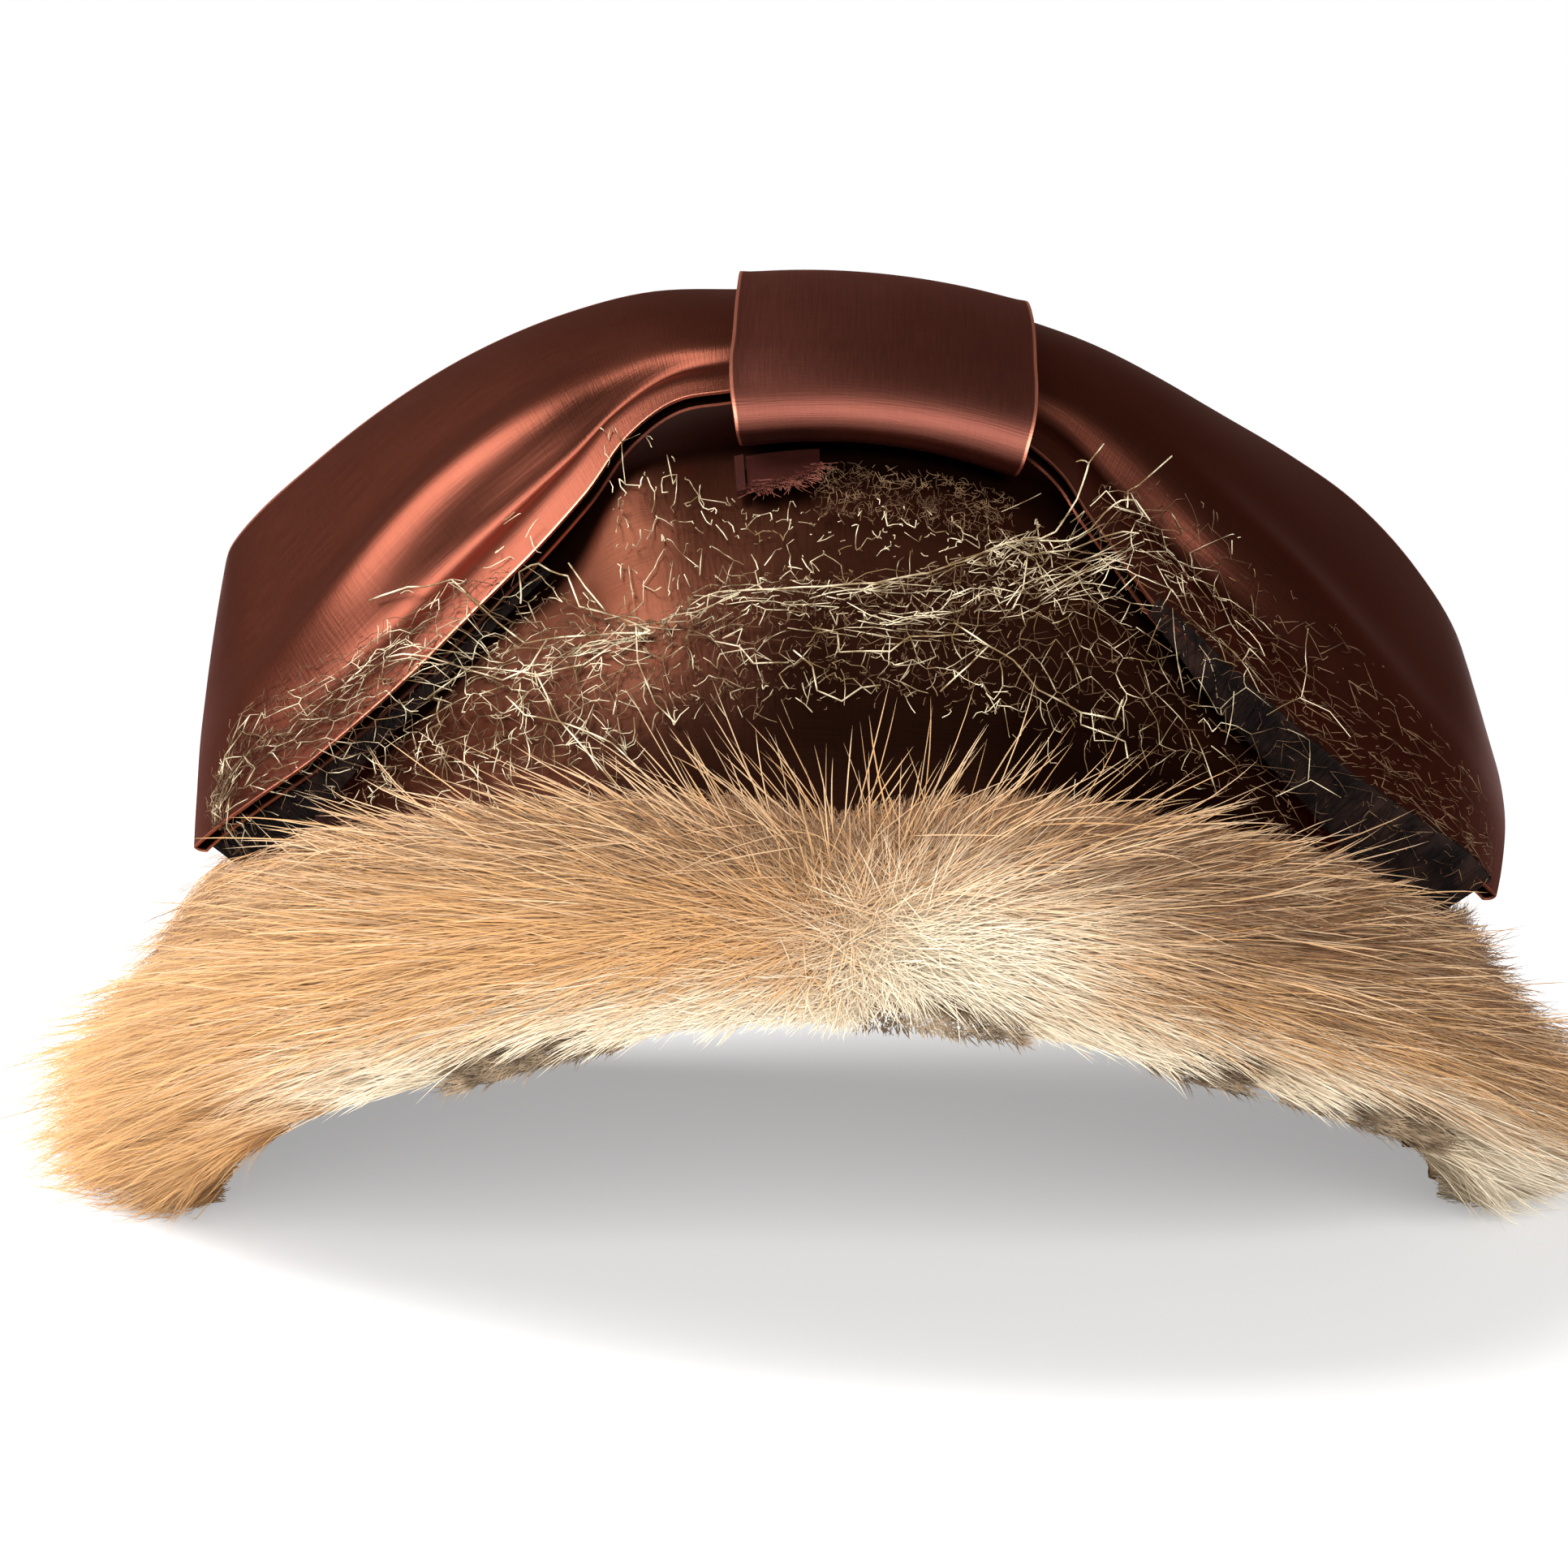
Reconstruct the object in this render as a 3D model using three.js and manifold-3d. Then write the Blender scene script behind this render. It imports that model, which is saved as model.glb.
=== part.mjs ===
import * as THREE from 'three';
import Module from 'manifold-3d';

const wasm = await Module();
wasm.setup();

// Half hat, front towards -Y, resting on the two fur covered ends. Sizes are in millimetres.

// Main sizes
const CROWN_HALF_WIDTH = 79;
const CROWN_HALF_DEPTH = 92;
const CROWN_RISE = 96;
const CROWN_CENTRE_Z = 12;
const CROWN_WALL = 2.0;
const CROWN_BACK_WALL = 3.0;
const RIBBON_WALL = 1.0;
const KNOT_WALL = 1.2;
const FLOOR_LEVEL = 5.5;
const NET_THREAD = 1.2;
const SEAM_GAP = 0.35;

// Colours
const SATIN = new THREE.MeshStandardMaterial({ name: 'satin', color: 0x6b3524, roughness: 0.4, metalness: 0 });
const CLOTH = new THREE.MeshStandardMaterial({ name: 'crown_satin', color: 0x6e3423, roughness: 0.5, metalness: 0 });
const FUR = new THREE.MeshStandardMaterial({ name: 'fur', color: 0xd9ab74, roughness: 0.9, metalness: 0 });
const VEIL = new THREE.MeshStandardMaterial({ name: 'veil_thread', color: 0xd8c69c, roughness: 0.7, metalness: 0 });
const NET = new THREE.MeshStandardMaterial({ name: 'dark_net', color: 0x241715, roughness: 0.8, metalness: 0 });

// Surface coordinates
// across runs from ear to ear and along from front to back, both in degrees; off is the height over the crown
function onCrown(across, along, off) {
  const a = THREE.MathUtils.degToRad(across);
  const b = THREE.MathUtils.degToRad(along);
  return new THREE.Vector3(
    (CROWN_HALF_WIDTH + off) * Math.sin(a) * Math.cos(b),
    (CROWN_HALF_DEPTH + off) * Math.sin(b),
    CROWN_CENTRE_Z + (CROWN_RISE + off) * Math.cos(a) * Math.cos(b),
  );
}

function lerp(a, b, t) {
  return a + (b - a) * t;
}

// Reads a table of sections at any place between its rows, on a smooth curve
function section(table, place) {
  const last = table.length - 1;
  const at = Math.min(Math.max(place, 0), 1) * last;
  const i = Math.min(Math.floor(at), last - 1);
  const t = at - i;
  const rows = [table[Math.max(i - 1, 0)], table[i], table[i + 1], table[Math.min(i + 2, last)]];
  const out = {};
  for (const key of Object.keys(table[0])) {
    const [p0, p1, p2, p3] = rows.map((row) => row[key]);
    const m1 = (p2 - p0) / 2;
    const m2 = (p3 - p1) / 2;
    const t2 = t * t;
    const t3 = t2 * t;
    out[key] = (2 * t3 - 3 * t2 + 1) * p1 + (t3 - 2 * t2 + t) * m1 + (3 * t2 - 2 * t3) * p2 + (t3 - t2) * m2;
  }
  return out;
}

// Turns positions and triangles into a closed mesh geometry with its faces outwards
function solidGeometry(positions, triangles) {
  let volume = 0;
  for (const [a, b, c] of triangles) {
    volume += positions[a].dot(new THREE.Vector3().crossVectors(positions[b], positions[c]));
  }
  const geometry = new THREE.BufferGeometry();
  geometry.setAttribute('position', new THREE.Float32BufferAttribute(positions.flatMap((p) => p.toArray()), 3));
  geometry.setIndex(triangles.flatMap(([a, b, c]) => (volume < 0 ? [a, c, b] : [a, b, c])));
  geometry.computeVertexNormals();
  return geometry;
}

// Gives a grid of points a thickness. The wall is one size, or a size for each row and column.
// A ring grid closes on itself along its rows.
function sheetSolid(grid, wall, ring = false) {
  const rows = grid.length;
  const cols = grid[0].length;
  const at = (i, j) => {
    const row = ring ? (i + rows) % rows : Math.min(Math.max(i, 0), rows - 1);
    return grid[row][Math.min(Math.max(j, 0), cols - 1)];
  };
  const outer = [];
  const inner = [];
  for (let i = 0; i < rows; i += 1) {
    for (let j = 0; j < cols; j += 1) {
      const du = at(i + 1, j).clone().sub(at(i - 1, j));
      const dv = at(i, j + 1).clone().sub(at(i, j - 1));
      const thick = typeof wall === 'function' ? wall(i, j) : wall;
      const normal = du.cross(dv).normalize().multiplyScalar(thick / 2);
      outer.push(grid[i][j].clone().add(normal));
      inner.push(grid[i][j].clone().sub(normal));
    }
  }
  const positions = [...outer, ...inner];
  const shift = rows * cols;
  const triangles = [];
  const id = (i, j) => (i % rows) * cols + j;
  const rowSpan = ring ? rows : rows - 1;
  for (let i = 0; i < rowSpan; i += 1) {
    for (let j = 0; j < cols - 1; j += 1) {
      const [a, b, c, d] = [id(i, j), id(i + 1, j), id(i + 1, j + 1), id(i, j + 1)];
      triangles.push([a, b, c], [a, c, d]);
      triangles.push([a + shift, c + shift, b + shift], [a + shift, d + shift, c + shift]);
    }
    for (const j of [0, cols - 1]) {
      const a = id(i, j);
      const b = id(i + 1, j);
      if (j === 0) triangles.push([a, a + shift, b + shift], [a, b + shift, b]);
      else triangles.push([a, b + shift, a + shift], [a, b, b + shift]);
    }
  }
  if (!ring) {
    for (let j = 0; j < cols - 1; j += 1) {
      const a = id(0, j);
      const b = id(0, j + 1);
      triangles.push([a, b + shift, a + shift], [a, b, b + shift]);
      const c = id(rows - 1, j);
      const d = id(rows - 1, j + 1);
      triangles.push([c, c + shift, d + shift], [c, d + shift, d]);
    }
  }
  return solidGeometry(positions, triangles);
}

// Changes between a mesh geometry and a solid that can be joined and cut
function toSolid(geometry) {
  const mesh = new wasm.Mesh({
    numProp: 3,
    vertProperties: new Float32Array(geometry.getAttribute('position').array),
    triVerts: new Uint32Array(geometry.index.array),
  });
  return new wasm.Manifold(mesh);
}

function fromSolid(solid) {
  const mesh = solid.getMesh();
  const geometry = new THREE.BufferGeometry();
  geometry.setAttribute('position', new THREE.Float32BufferAttribute(mesh.vertProperties, 3));
  geometry.setIndex(Array.from(mesh.triVerts));
  geometry.computeVertexNormals();
  return geometry;
}

// Crown
// front and back are the places of the two edges at each place across, in degrees
const CROWN_EDGES = [
  { front: -66.5, back: 34 },
  { front: -65.5, back: 34 },
  { front: -61.5, back: 33 },
  { front: -55, back: 31 },
  { front: -43, back: 29 },
  { front: -27, back: 26 },
  { front: -9, back: 23 },
];
const CROWN_END = 93.6;
const CROWN_STEPS = 9;

// Soft swellings and hollows of the covering
const CROWN_DENTS = [
  { across: -19, along: -35, width: 7, length: 16, rise: 1.2 },
  { across: -27, along: -27, width: 5, length: 6, rise: -1.0 },
  { across: 4, along: -40, width: 9, length: 14, rise: -0.7 },
  { across: 18, along: -38, width: 8, length: 14, rise: 0.7 },
];

// The shell grows thicker towards its bound back edge
function crownWall(j) {
  return lerp(CROWN_WALL, CROWN_BACK_WALL, Math.max(0, (j - 3) / (CROWN_STEPS - 3)));
}

function crownGrid() {
  const grid = [];
  const steps = 28;
  for (let i = 0; i <= steps; i += 1) {
    const across = lerp(-CROWN_END, CROWN_END, i / steps);
    const edge = section(CROWN_EDGES, Math.abs(across) / CROWN_END);
    const row = [];
    for (let j = 0; j <= CROWN_STEPS; j += 1) {
      const along = lerp(edge.front, edge.back, j / CROWN_STEPS);
      let rise = 0;
      for (const dent of CROWN_DENTS) {
        const x = (across - dent.across) / dent.width;
        const y = (along - dent.along) / dent.length;
        rise += dent.rise * Math.exp(-x * x - y * y);
      }
      row.push(onCrown(across, along, rise - crownWall(j) / 2));
    }
    grid.push(row);
  }
  return grid;
}

const crown = new THREE.Mesh(sheetSolid(crownGrid(), (i, j) => crownWall(j)), CLOTH);
crown.name = 'crown';

// Bow loops
// Each row is one place from the knot to the fold at the end. The front edge has its place across and along the
// crown and its height over it; the ridge is the height a third of the way back; the back edge has the same
// three columns; under is the height of the back edge of the lower layer; pleat is how sharp the ridge is.
const LEFT_LOOP = [
  { across: -3, along: -16.5, front: 7.4, ridge: 9.6, backAcross: -2.5, backAlong: 4.3, back: 12.8, under: 10.4, pleat: 1 },
  { across: -8.7, along: -17, front: 7.4, ridge: 9.8, backAcross: -7.7, backAlong: 4.3, back: 13.4, under: 10.8, pleat: 1 },
  { across: -13.5, along: -16.5, front: 7.4, ridge: 10.2, backAcross: -14.6, backAlong: 4.8, back: 15.7, under: 10.5, pleat: 1 },
  { across: -18, along: -18.5, front: 6.4, ridge: 9.8, backAcross: -21.3, backAlong: 5.8, back: 17.2, under: 9.5, pleat: 0.9 },
  { across: -23, along: -22.5, front: 4.6, ridge: 9.2, backAcross: -29, backAlong: 7.2, back: 19.0, under: 9, pleat: 0.7 },
  { across: -31, along: -25.6, front: 3.6, ridge: 8.2, backAcross: -37.1, backAlong: 8.6, back: 21.1, under: 9.5, pleat: 0.45 },
  { across: -42.7, along: -26.5, front: 3.6, ridge: 7.4, backAcross: -44.3, backAlong: 10, back: 23.5, under: 12, pleat: 0.2 },
  { across: -53.3, along: -23.5, front: 4.8, ridge: 8.2, backAcross: -50.1, backAlong: 11.7, back: 26.4, under: 17, pleat: 0 },
  { across: -61.1, along: -18.7, front: 7.6, ridge: 11.0, backAcross: -53.5, backAlong: 13.4, back: 28.2, under: 22, pleat: 0 },
  { across: -67.8, along: -12.2, front: 10.6, ridge: 13.6, backAcross: -55, backAlong: 14.3, back: 28.4, under: 24, pleat: 0 },
];
const RIGHT_LOOP = [
  { across: 12, along: -17.5, front: 6.0, ridge: 9.0, backAcross: 10.8, backAlong: 4.3, back: 12.6, under: 10.0, pleat: 1 },
  { across: 17.1, along: -19.4, front: 5.4, ridge: 9.0, backAcross: 16, backAlong: 4.3, back: 12.8, under: 10.2, pleat: 1 },
  { across: 20.4, along: -21.2, front: 4.8, ridge: 9.2, backAcross: 21.7, backAlong: 4.9, back: 13.3, under: 9.6, pleat: 1 },
  { across: 24, along: -24.5, front: 3.8, ridge: 8.8, backAcross: 28.6, backAlong: 5.9, back: 14.0, under: 9, pleat: 1 },
  { across: 31, along: -29.5, front: 3.6, ridge: 8.0, backAcross: 34.8, backAlong: 7.5, back: 15.6, under: 9, pleat: 0.9 },
  { across: 39, along: -30.4, front: 3.6, ridge: 7.4, backAcross: 40.9, backAlong: 8.8, back: 18.3, under: 9.5, pleat: 0.6 },
  { across: 49, along: -28.8, front: 4.0, ridge: 7.6, backAcross: 47.2, backAlong: 10.1, back: 21.6, under: 12, pleat: 0.25 },
  { across: 57, along: -25.6, front: 5.8, ridge: 9.4, backAcross: 54.3, backAlong: 11.8, back: 24.6, under: 16, pleat: 0 },
  { across: 64, along: -21, front: 8.6, ridge: 12.6, backAcross: 60.5, backAlong: 12.6, back: 26.0, under: 20, pleat: 0 },
  { across: 71, along: -14.6, front: 12.4, ridge: 15.6, backAcross: 65.5, backAlong: 11.8, back: 23.6, under: 19.5, pleat: 0 },
];

const RIBBON_STEPS = [0, 0.1, 0.21, 0.27, 0.38, 0.55, 0.77, 1];
const RIDGE_PLACE = 0.32;
const RIBBON_LAYER_GAP = 2.3;

// A place across the ribbon, on a smooth curve through the front edge, the ridge and the back edge
function acrossRibbon(row, w, front, ridge, back) {
  const place = (v, off) => onCrown(lerp(row.across, row.backAcross, v), lerp(row.along, row.backAlong, v), off);
  const weights = [
    ((w - RIDGE_PLACE) * (w - 1)) / RIDGE_PLACE,
    (w * (w - 1)) / (RIDGE_PLACE * (RIDGE_PLACE - 1)),
    (w * (w - RIDGE_PLACE)) / (1 - RIDGE_PLACE),
  ];
  return new THREE.Vector3()
    .addScaledVector(place(0, front), weights[0])
    .addScaledVector(place(RIDGE_PLACE, ridge), weights[1])
    .addScaledVector(place(1, back), weights[2]);
}

function upperLayer(row) {
  const tucked = { 1: row.front + 0.2, 2: row.front + 0.4, 3: row.ridge };
  return RIBBON_STEPS.map((w, j) => {
    const smooth = acrossRibbon(row, w, row.front, row.ridge, row.back);
    if (!(j in tucked)) return smooth;
    const folded = onCrown(lerp(row.across, row.backAcross, w), lerp(row.along, row.backAlong, w), tucked[j]);
    return smooth.lerp(folded, row.pleat);
  });
}

function lowerLayer(row) {
  const front = row.front - RIBBON_LAYER_GAP;
  const loose = Math.min(front + 0.6 + 0.4 * (row.ridge - row.front), row.ridge - 2.6);
  const ridge = lerp(loose, front + 0.5, row.pleat);
  return RIBBON_STEPS.map((w, j) => {
    const smooth = acrossRibbon(row, w, front, ridge, row.under);
    if (j === 0 || j > 3) return smooth;
    const flat = onCrown(lerp(row.across, row.backAcross, w), lerp(row.along, row.backAlong, w), front + 0.3);
    return smooth.lerp(flat, row.pleat);
  });
}

// The rounded turn of the ribbon between its two layers
function turnRows(upper, lower, outwards, reach) {
  return [0.3, 0.5, 0.7].map((t) => {
    const bulge = Math.sin(Math.PI * t) * reach;
    return upper.map((p, j) => {
      const gap = p.distanceTo(lower[j]);
      return p.clone().lerp(lower[j], t).addScaledVector(outwards, bulge * Math.min(gap, 6));
    });
  });
}

function loopGeometry(table) {
  const count = 13;
  const upper = [];
  const lower = [];
  for (let i = 0; i <= count; i += 1) {
    const row = section(table, i / count);
    upper.push(upperLayer(row));
    lower.push(lowerLayer(row));
  }
  const outEnd = upper[count][3].clone().sub(upper[count - 1][3]).normalize();
  const outKnot = upper[0][3].clone().sub(upper[1][3]).normalize();
  const grid = [
    ...upper,
    ...turnRows(upper[count], lower[count], outEnd, 0.2),
    ...lower.slice().reverse(),
    ...turnRows(lower[0], upper[0], outKnot, 0.25),
  ];
  return sheetSolid(grid, RIBBON_WALL, true);
}

const bowLoopLeft = new THREE.Mesh(loopGeometry(LEFT_LOOP), SATIN);
bowLoopLeft.name = 'bow_loop_left';
const bowLoopRight = new THREE.Mesh(loopGeometry(RIGHT_LOOP), SATIN);
bowLoopRight.name = 'bow_loop_right';

// Knot
// Rows go round the strap from its back edge over the top, round the front roll and back underneath.
// Each row has the places across of its two edges and their heights over the crown.
const KNOT_ROUND = [
  { along: 5.7, from: -7.2, to: 16.0, left: 9, right: 8.5 },
  { along: 5.6, from: -7.2, to: 16.0, left: 14.9, right: 14.4 },
  { along: -4, from: -7.5, to: 16.1, left: 13.7, right: 13.3 },
  { along: -13, from: -8.0, to: 16.3, left: 11.9, right: 11.4 },
  { along: -18.6, from: -8.4, to: 16.6, left: 10.6, right: 9.7 },
  { along: -21.4, from: -8.6, to: 16.8, left: 9.2, right: 8.3 },
  { along: -22.4, from: -8.6, to: 16.8, left: 7.4, right: 6.6 },
  { along: -21.8, from: -8.6, to: 16.8, left: 5.6, right: 4.4 },
  { along: -20, from: -8.4, to: 16.6, left: 2.9, right: 1.7 },
  { along: -12, from: -8.0, to: 16.3, left: 2.0, right: 1.3 },
  { along: 0, from: -7.6, to: 16.1, left: 1.6, right: 1.4 },
  { along: 4.6, from: -7.4, to: 16.0, left: 4.0, right: 3.6 },
];

function knotGeometry() {
  const grid = KNOT_ROUND.map((row) => {
    const points = [];
    for (let j = 0; j <= 5; j += 1) {
      const t = j / 5;
      const sag = -0.5 * Math.sin(Math.PI * t) * (row.left > 10 ? 1 : 0);
      points.push(onCrown(lerp(row.from, row.to, t), row.along, lerp(row.left, row.right, t) + sag));
    }
    return points;
  });
  return sheetSolid(grid, KNOT_WALL, true);
}

const bowKnot = new THREE.Mesh(knotGeometry(), SATIN);
bowKnot.name = 'bow_knot';

// Short raw end of ribbon that hangs out under the roll of the knot
const TAIL_END = [-25.2, -26.2, -25.5, -26.6, -25.3, -24.6];

function tailGeometry() {
  const grid = TAIL_END.map((end, i) => {
    const across = lerp(-8.2, -1.0, i / (TAIL_END.length - 1));
    return [0, 0.4, 0.75, 1].map((t) => onCrown(across, lerp(-20.2, end, t), lerp(0.85, 1.3, t)));
  });
  return sheetSolid(grid, 0.9);
}

const bowTail = new THREE.Mesh(tailGeometry(), SATIN);
bowTail.name = 'bow_tail';

// Fur band
// Each row joins a place on the rim to a place on the upper edge of the band, on one side
const FUR_ROWS = [
  { rimAcross: 0, rimAlong: -68.5, topAcross: 0, topAlong: -55, pile: 2.8 },
  { rimAcross: 21, rimAlong: -67.3, topAcross: 17, topAlong: -52, pile: 2.8 },
  { rimAcross: 40, rimAlong: -63.8, topAcross: 32, topAlong: -47.5, pile: 3.0 },
  { rimAcross: 58, rimAlong: -57.3, topAcross: 45, topAlong: -40.5, pile: 3.6 },
  { rimAcross: 70, rimAlong: -48.5, topAcross: 55, topAlong: -31, pile: 4.6 },
  { rimAcross: 80, rimAlong: -37, topAcross: 63, topAlong: -21, pile: 6.4 },
  { rimAcross: 88, rimAlong: -24, topAcross: 68.5, topAlong: -9, pile: 8 },
  { rimAcross: 95, rimAlong: -11, topAcross: 71.5, topAlong: 7, pile: 9 },
  { rimAcross: 99, rimAlong: 5, topAcross: 74, topAlong: 22, pile: 9 },
  { rimAcross: 99.5, rimAlong: 17, topAcross: 85, topAlong: 25, pile: 8 },
  { rimAcross: 99.5, rimAlong: 22, topAcross: 96, topAlong: 25, pile: 7 },
];
const FUR_LIE = SEAM_GAP + 0.3;
const RIGHT_DROP = 5;

// The same rows read from the left end, through the middle, to the right end
function furPlace(t, v, share) {
  const row = section(FUR_ROWS, Math.abs(t));
  const side = t < 0 ? -1 : 1;
  const drop = t > 0 ? RIGHT_DROP * v * Math.min(1, t / 0.5) : 0;
  const across = side * (lerp(row.rimAcross, row.topAcross, v) + drop);
  return onCrown(across, lerp(row.rimAlong, row.topAlong, v), FUR_LIE + share * row.pile);
}

const BACKING_STEPS = [0, 0.09, 0.3, 0.5, 0.7, 0.91, 1];
const BACKING_DOME = [0.6, 0.8, 1, 1, 0.9, 0.6, 0.4];

function furBacking() {
  const half = 15;
  const grid = [];
  const pile = [];
  for (let i = -half; i <= half; i += 1) {
    pile.push(section(FUR_ROWS, Math.abs(i) / half).pile);
    grid.push(BACKING_STEPS.map((v, j) => furPlace(i / half, v, BACKING_DOME[j] / 2)));
  }
  return toSolid(sheetSolid(grid, (i, j) => pile[i] * BACKING_DOME[j]));
}

// Small repeatable variation for the locks
function wobble(seed) {
  const s = Math.sin(seed * 127.1 + 11.7) * 43758.5453;
  return s - Math.floor(s);
}

// One tapered lock from its root, lying along the flow of the hair
function lockGeometry(root, flow, out, length, width, depth) {
  const side = new THREE.Vector3().crossVectors(flow, out).normalize();
  const stations = [
    { along: -0.18, lift: 0.0, wide: 0.75, deep: 0.7 },
    { along: 0.35, lift: 0.12, wide: 1.0, deep: 1.0 },
    { along: 0.75, lift: 0.2, wide: 0.6, deep: 0.6 },
  ];
  const positions = [];
  for (const s of stations) {
    const centre = root.clone().addScaledVector(flow, s.along * length).addScaledVector(out, s.lift * length);
    positions.push(centre.clone().addScaledVector(side, s.wide * width / 2).addScaledVector(out, -0.3 * s.deep * depth));
    positions.push(centre.clone().addScaledVector(out, 0.7 * s.deep * depth));
    positions.push(centre.clone().addScaledVector(side, -s.wide * width / 2).addScaledVector(out, -0.3 * s.deep * depth));
  }
  positions.push(root.clone().addScaledVector(flow, length).addScaledVector(out, 0.2 * length));
  const triangles = [[0, 2, 1]];
  for (let k = 0; k < 2; k += 1) {
    for (let m = 0; m < 3; m += 1) {
      const a = k * 3 + m;
      const b = k * 3 + ((m + 1) % 3);
      triangles.push([a, b, b + 3], [a, b + 3, a + 3]);
    }
  }
  for (let m = 0; m < 3; m += 1) {
    triangles.push([6 + m, 6 + ((m + 1) % 3), 9]);
  }
  return solidGeometry(positions, triangles);
}

// Lines of locks across the band: place from rim to upper edge, turn of the flow towards the upper edge,
// and size of the locks
const LOCK_LINES = [
  { v: 0.12, turn: -0.25, length: 19, width: 10, depth: 5 },
  { v: 0.42, turn: -0.05, length: 22, width: 12, depth: 6.5 },
  { v: 0.7, turn: 0.08, length: 22, width: 11, depth: 6 },
  { v: 0.92, turn: 0.3, length: 17, width: 8, depth: 4 },
];
const LOCKS_PER_SIDE = 11;
const PARTING = 0.03;

function furGeometry() {
  let fur = furBacking();
  LOCK_LINES.forEach((line, n) => {
    for (let i = 0; i < LOCKS_PER_SIDE * 2; i += 1) {
      const side = i < LOCKS_PER_SIDE ? -1 : 1;
      const seed = n * 37 + i;
      const step = ((i % LOCKS_PER_SIDE) + 0.2 + 0.5 * wobble(seed)) / LOCKS_PER_SIDE;
      const t = PARTING + side * step * 0.9;
      const far = Math.min(1, Math.abs(t) / 0.6);
      const root = furPlace(t, line.v, 0.6);
      const upwards = furPlace(t, line.v + 0.1, 0.6).sub(root).normalize();
      const out = furPlace(t, line.v, 1.6).sub(root).normalize();
      const flow = furPlace(t + side * 0.04, line.v, 0.6).sub(root).normalize();
      const fringe = line.v * 1.3 * Math.exp(-(((t - PARTING) / 0.14) ** 2));
      const turn = lerp(line.turn, -0.75 * line.v, far) + fringe + 0.25 * (wobble(seed + 0.5) - 0.5);
      flow.addScaledVector(upwards, turn);
      flow.addScaledVector(out, lerp(0.12, 0.8 - 0.45 * line.v, far ** 1.5)).normalize();
      out.addScaledVector(flow, -out.dot(flow)).normalize();
      const length = line.length * lerp(0.9, 1.35, far) * (0.88 + 0.24 * wobble(seed + 0.9));
      const size = lerp(0.8, 1.15, far);
      fur = fur.add(toSolid(lockGeometry(root, flow, out, length, size * line.width, size * line.depth)));
    }
  });
  // The underside is pressed flat where the hat rests
  const corners = [-200, 200].map((x) => [-200, 200].map((y) => new THREE.Vector3(x, y, FLOOR_LEVEL - 30)));
  return fromSolid(fur.subtract(toSolid(sheetSolid(corners, 60))));
}

const furBand = new THREE.Mesh(furGeometry(), FUR);
furBand.name = 'fur_band';

// Gathered dark net along the front edge of each loop
const LEFT_GATHER = [
  { across: -29, along: -28.5, wide: 1.6 },
  { across: -36, along: -30.0, wide: 2.2 },
  { across: -43, along: -30.4, wide: 2.4 },
  { across: -50, along: -28.6, wide: 2.4 },
  { across: -56, along: -25.0, wide: 2.2 },
];
const RIGHT_GATHER = [
  { across: 30, along: -32.5, wide: 2.2 },
  { across: 37, along: -34.0, wide: 3.0 },
  { across: 44, along: -33.6, wide: 3.2 },
  { across: 51, along: -31.0, wide: 3.2 },
  { across: 57, along: -27.5, wide: 2.8 },
];
const GATHER_FOLDS = 22;

function gatherGeometry(table) {
  const grid = [];
  for (let i = 0; i <= GATHER_FOLDS; i += 1) {
    const row = section(table, i / GATHER_FOLDS);
    const fold = i % 2 === 0 ? 0 : 0.7;
    grid.push([-0.5, 0, 0.5].map((w) => onCrown(row.across, row.along + w * row.wide, 1.3 + fold * (0.6 - w))));
  }
  return sheetSolid(grid, 1.0);
}

const gatherLeft = new THREE.Mesh(gatherGeometry(LEFT_GATHER), NET);
gatherLeft.name = 'net_gather_left';
const gatherRight = new THREE.Mesh(gatherGeometry(RIGHT_GATHER), NET);
gatherRight.name = 'net_gather_right';

// Veil
// Upper and lower bounds of the torn net at each place across
const VEIL_BOUNDS = [
  { across: -56, low: -22, high: -12 },
  { across: -46, low: -30, high: -17 },
  { across: -37, low: -38, high: -20 },
  { across: -28, low: -43, high: -27 },
  { across: -18, low: -45, high: -33 },
  { across: -8, low: -45.5, high: -33 },
  { across: 4, low: -45.5, high: -34 },
  { across: 14, low: -45, high: -31 },
  { across: 24, low: -43.5, high: -28.5 },
  { across: 34, low: -40, high: -23 },
  { across: 44, low: -33, high: -18 },
  { across: 55, low: -25, high: -14 },
];
const VEIL_CELL = 3.8;

// Height of the pieces already placed over the crown, found along lines square to it
const carriers = [crown, bowLoopLeft, bowLoopRight, gatherLeft, gatherRight];
const probe = new THREE.Raycaster();
function heightUnder(across, along) {
  let height = 0;
  for (const [da, db] of [[0, 0], [2, 0], [-2, 0], [0, 2], [0, -2], [1.4, 1.4], [-1.4, -1.4]]) {
    const start = onCrown(across + da, along + db, 60);
    const end = onCrown(across + da, along + db, 0);
    probe.set(start, end.clone().sub(start).normalize());
    const hit = probe.intersectObjects(carriers)[0];
    if (hit) height = Math.max(height, 60 - hit.distance * (60 / start.distanceTo(end)));
  }
  return height;
}

function insideVeil(across, along) {
  const first = VEIL_BOUNDS[0].across;
  const last = VEIL_BOUNDS[VEIL_BOUNDS.length - 1].across;
  const place = (across - first) / (last - first);
  if (place < 0 || place > 1) return false;
  const row = section(VEIL_BOUNDS, place);
  return along > row.low && along < row.high;
}

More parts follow.
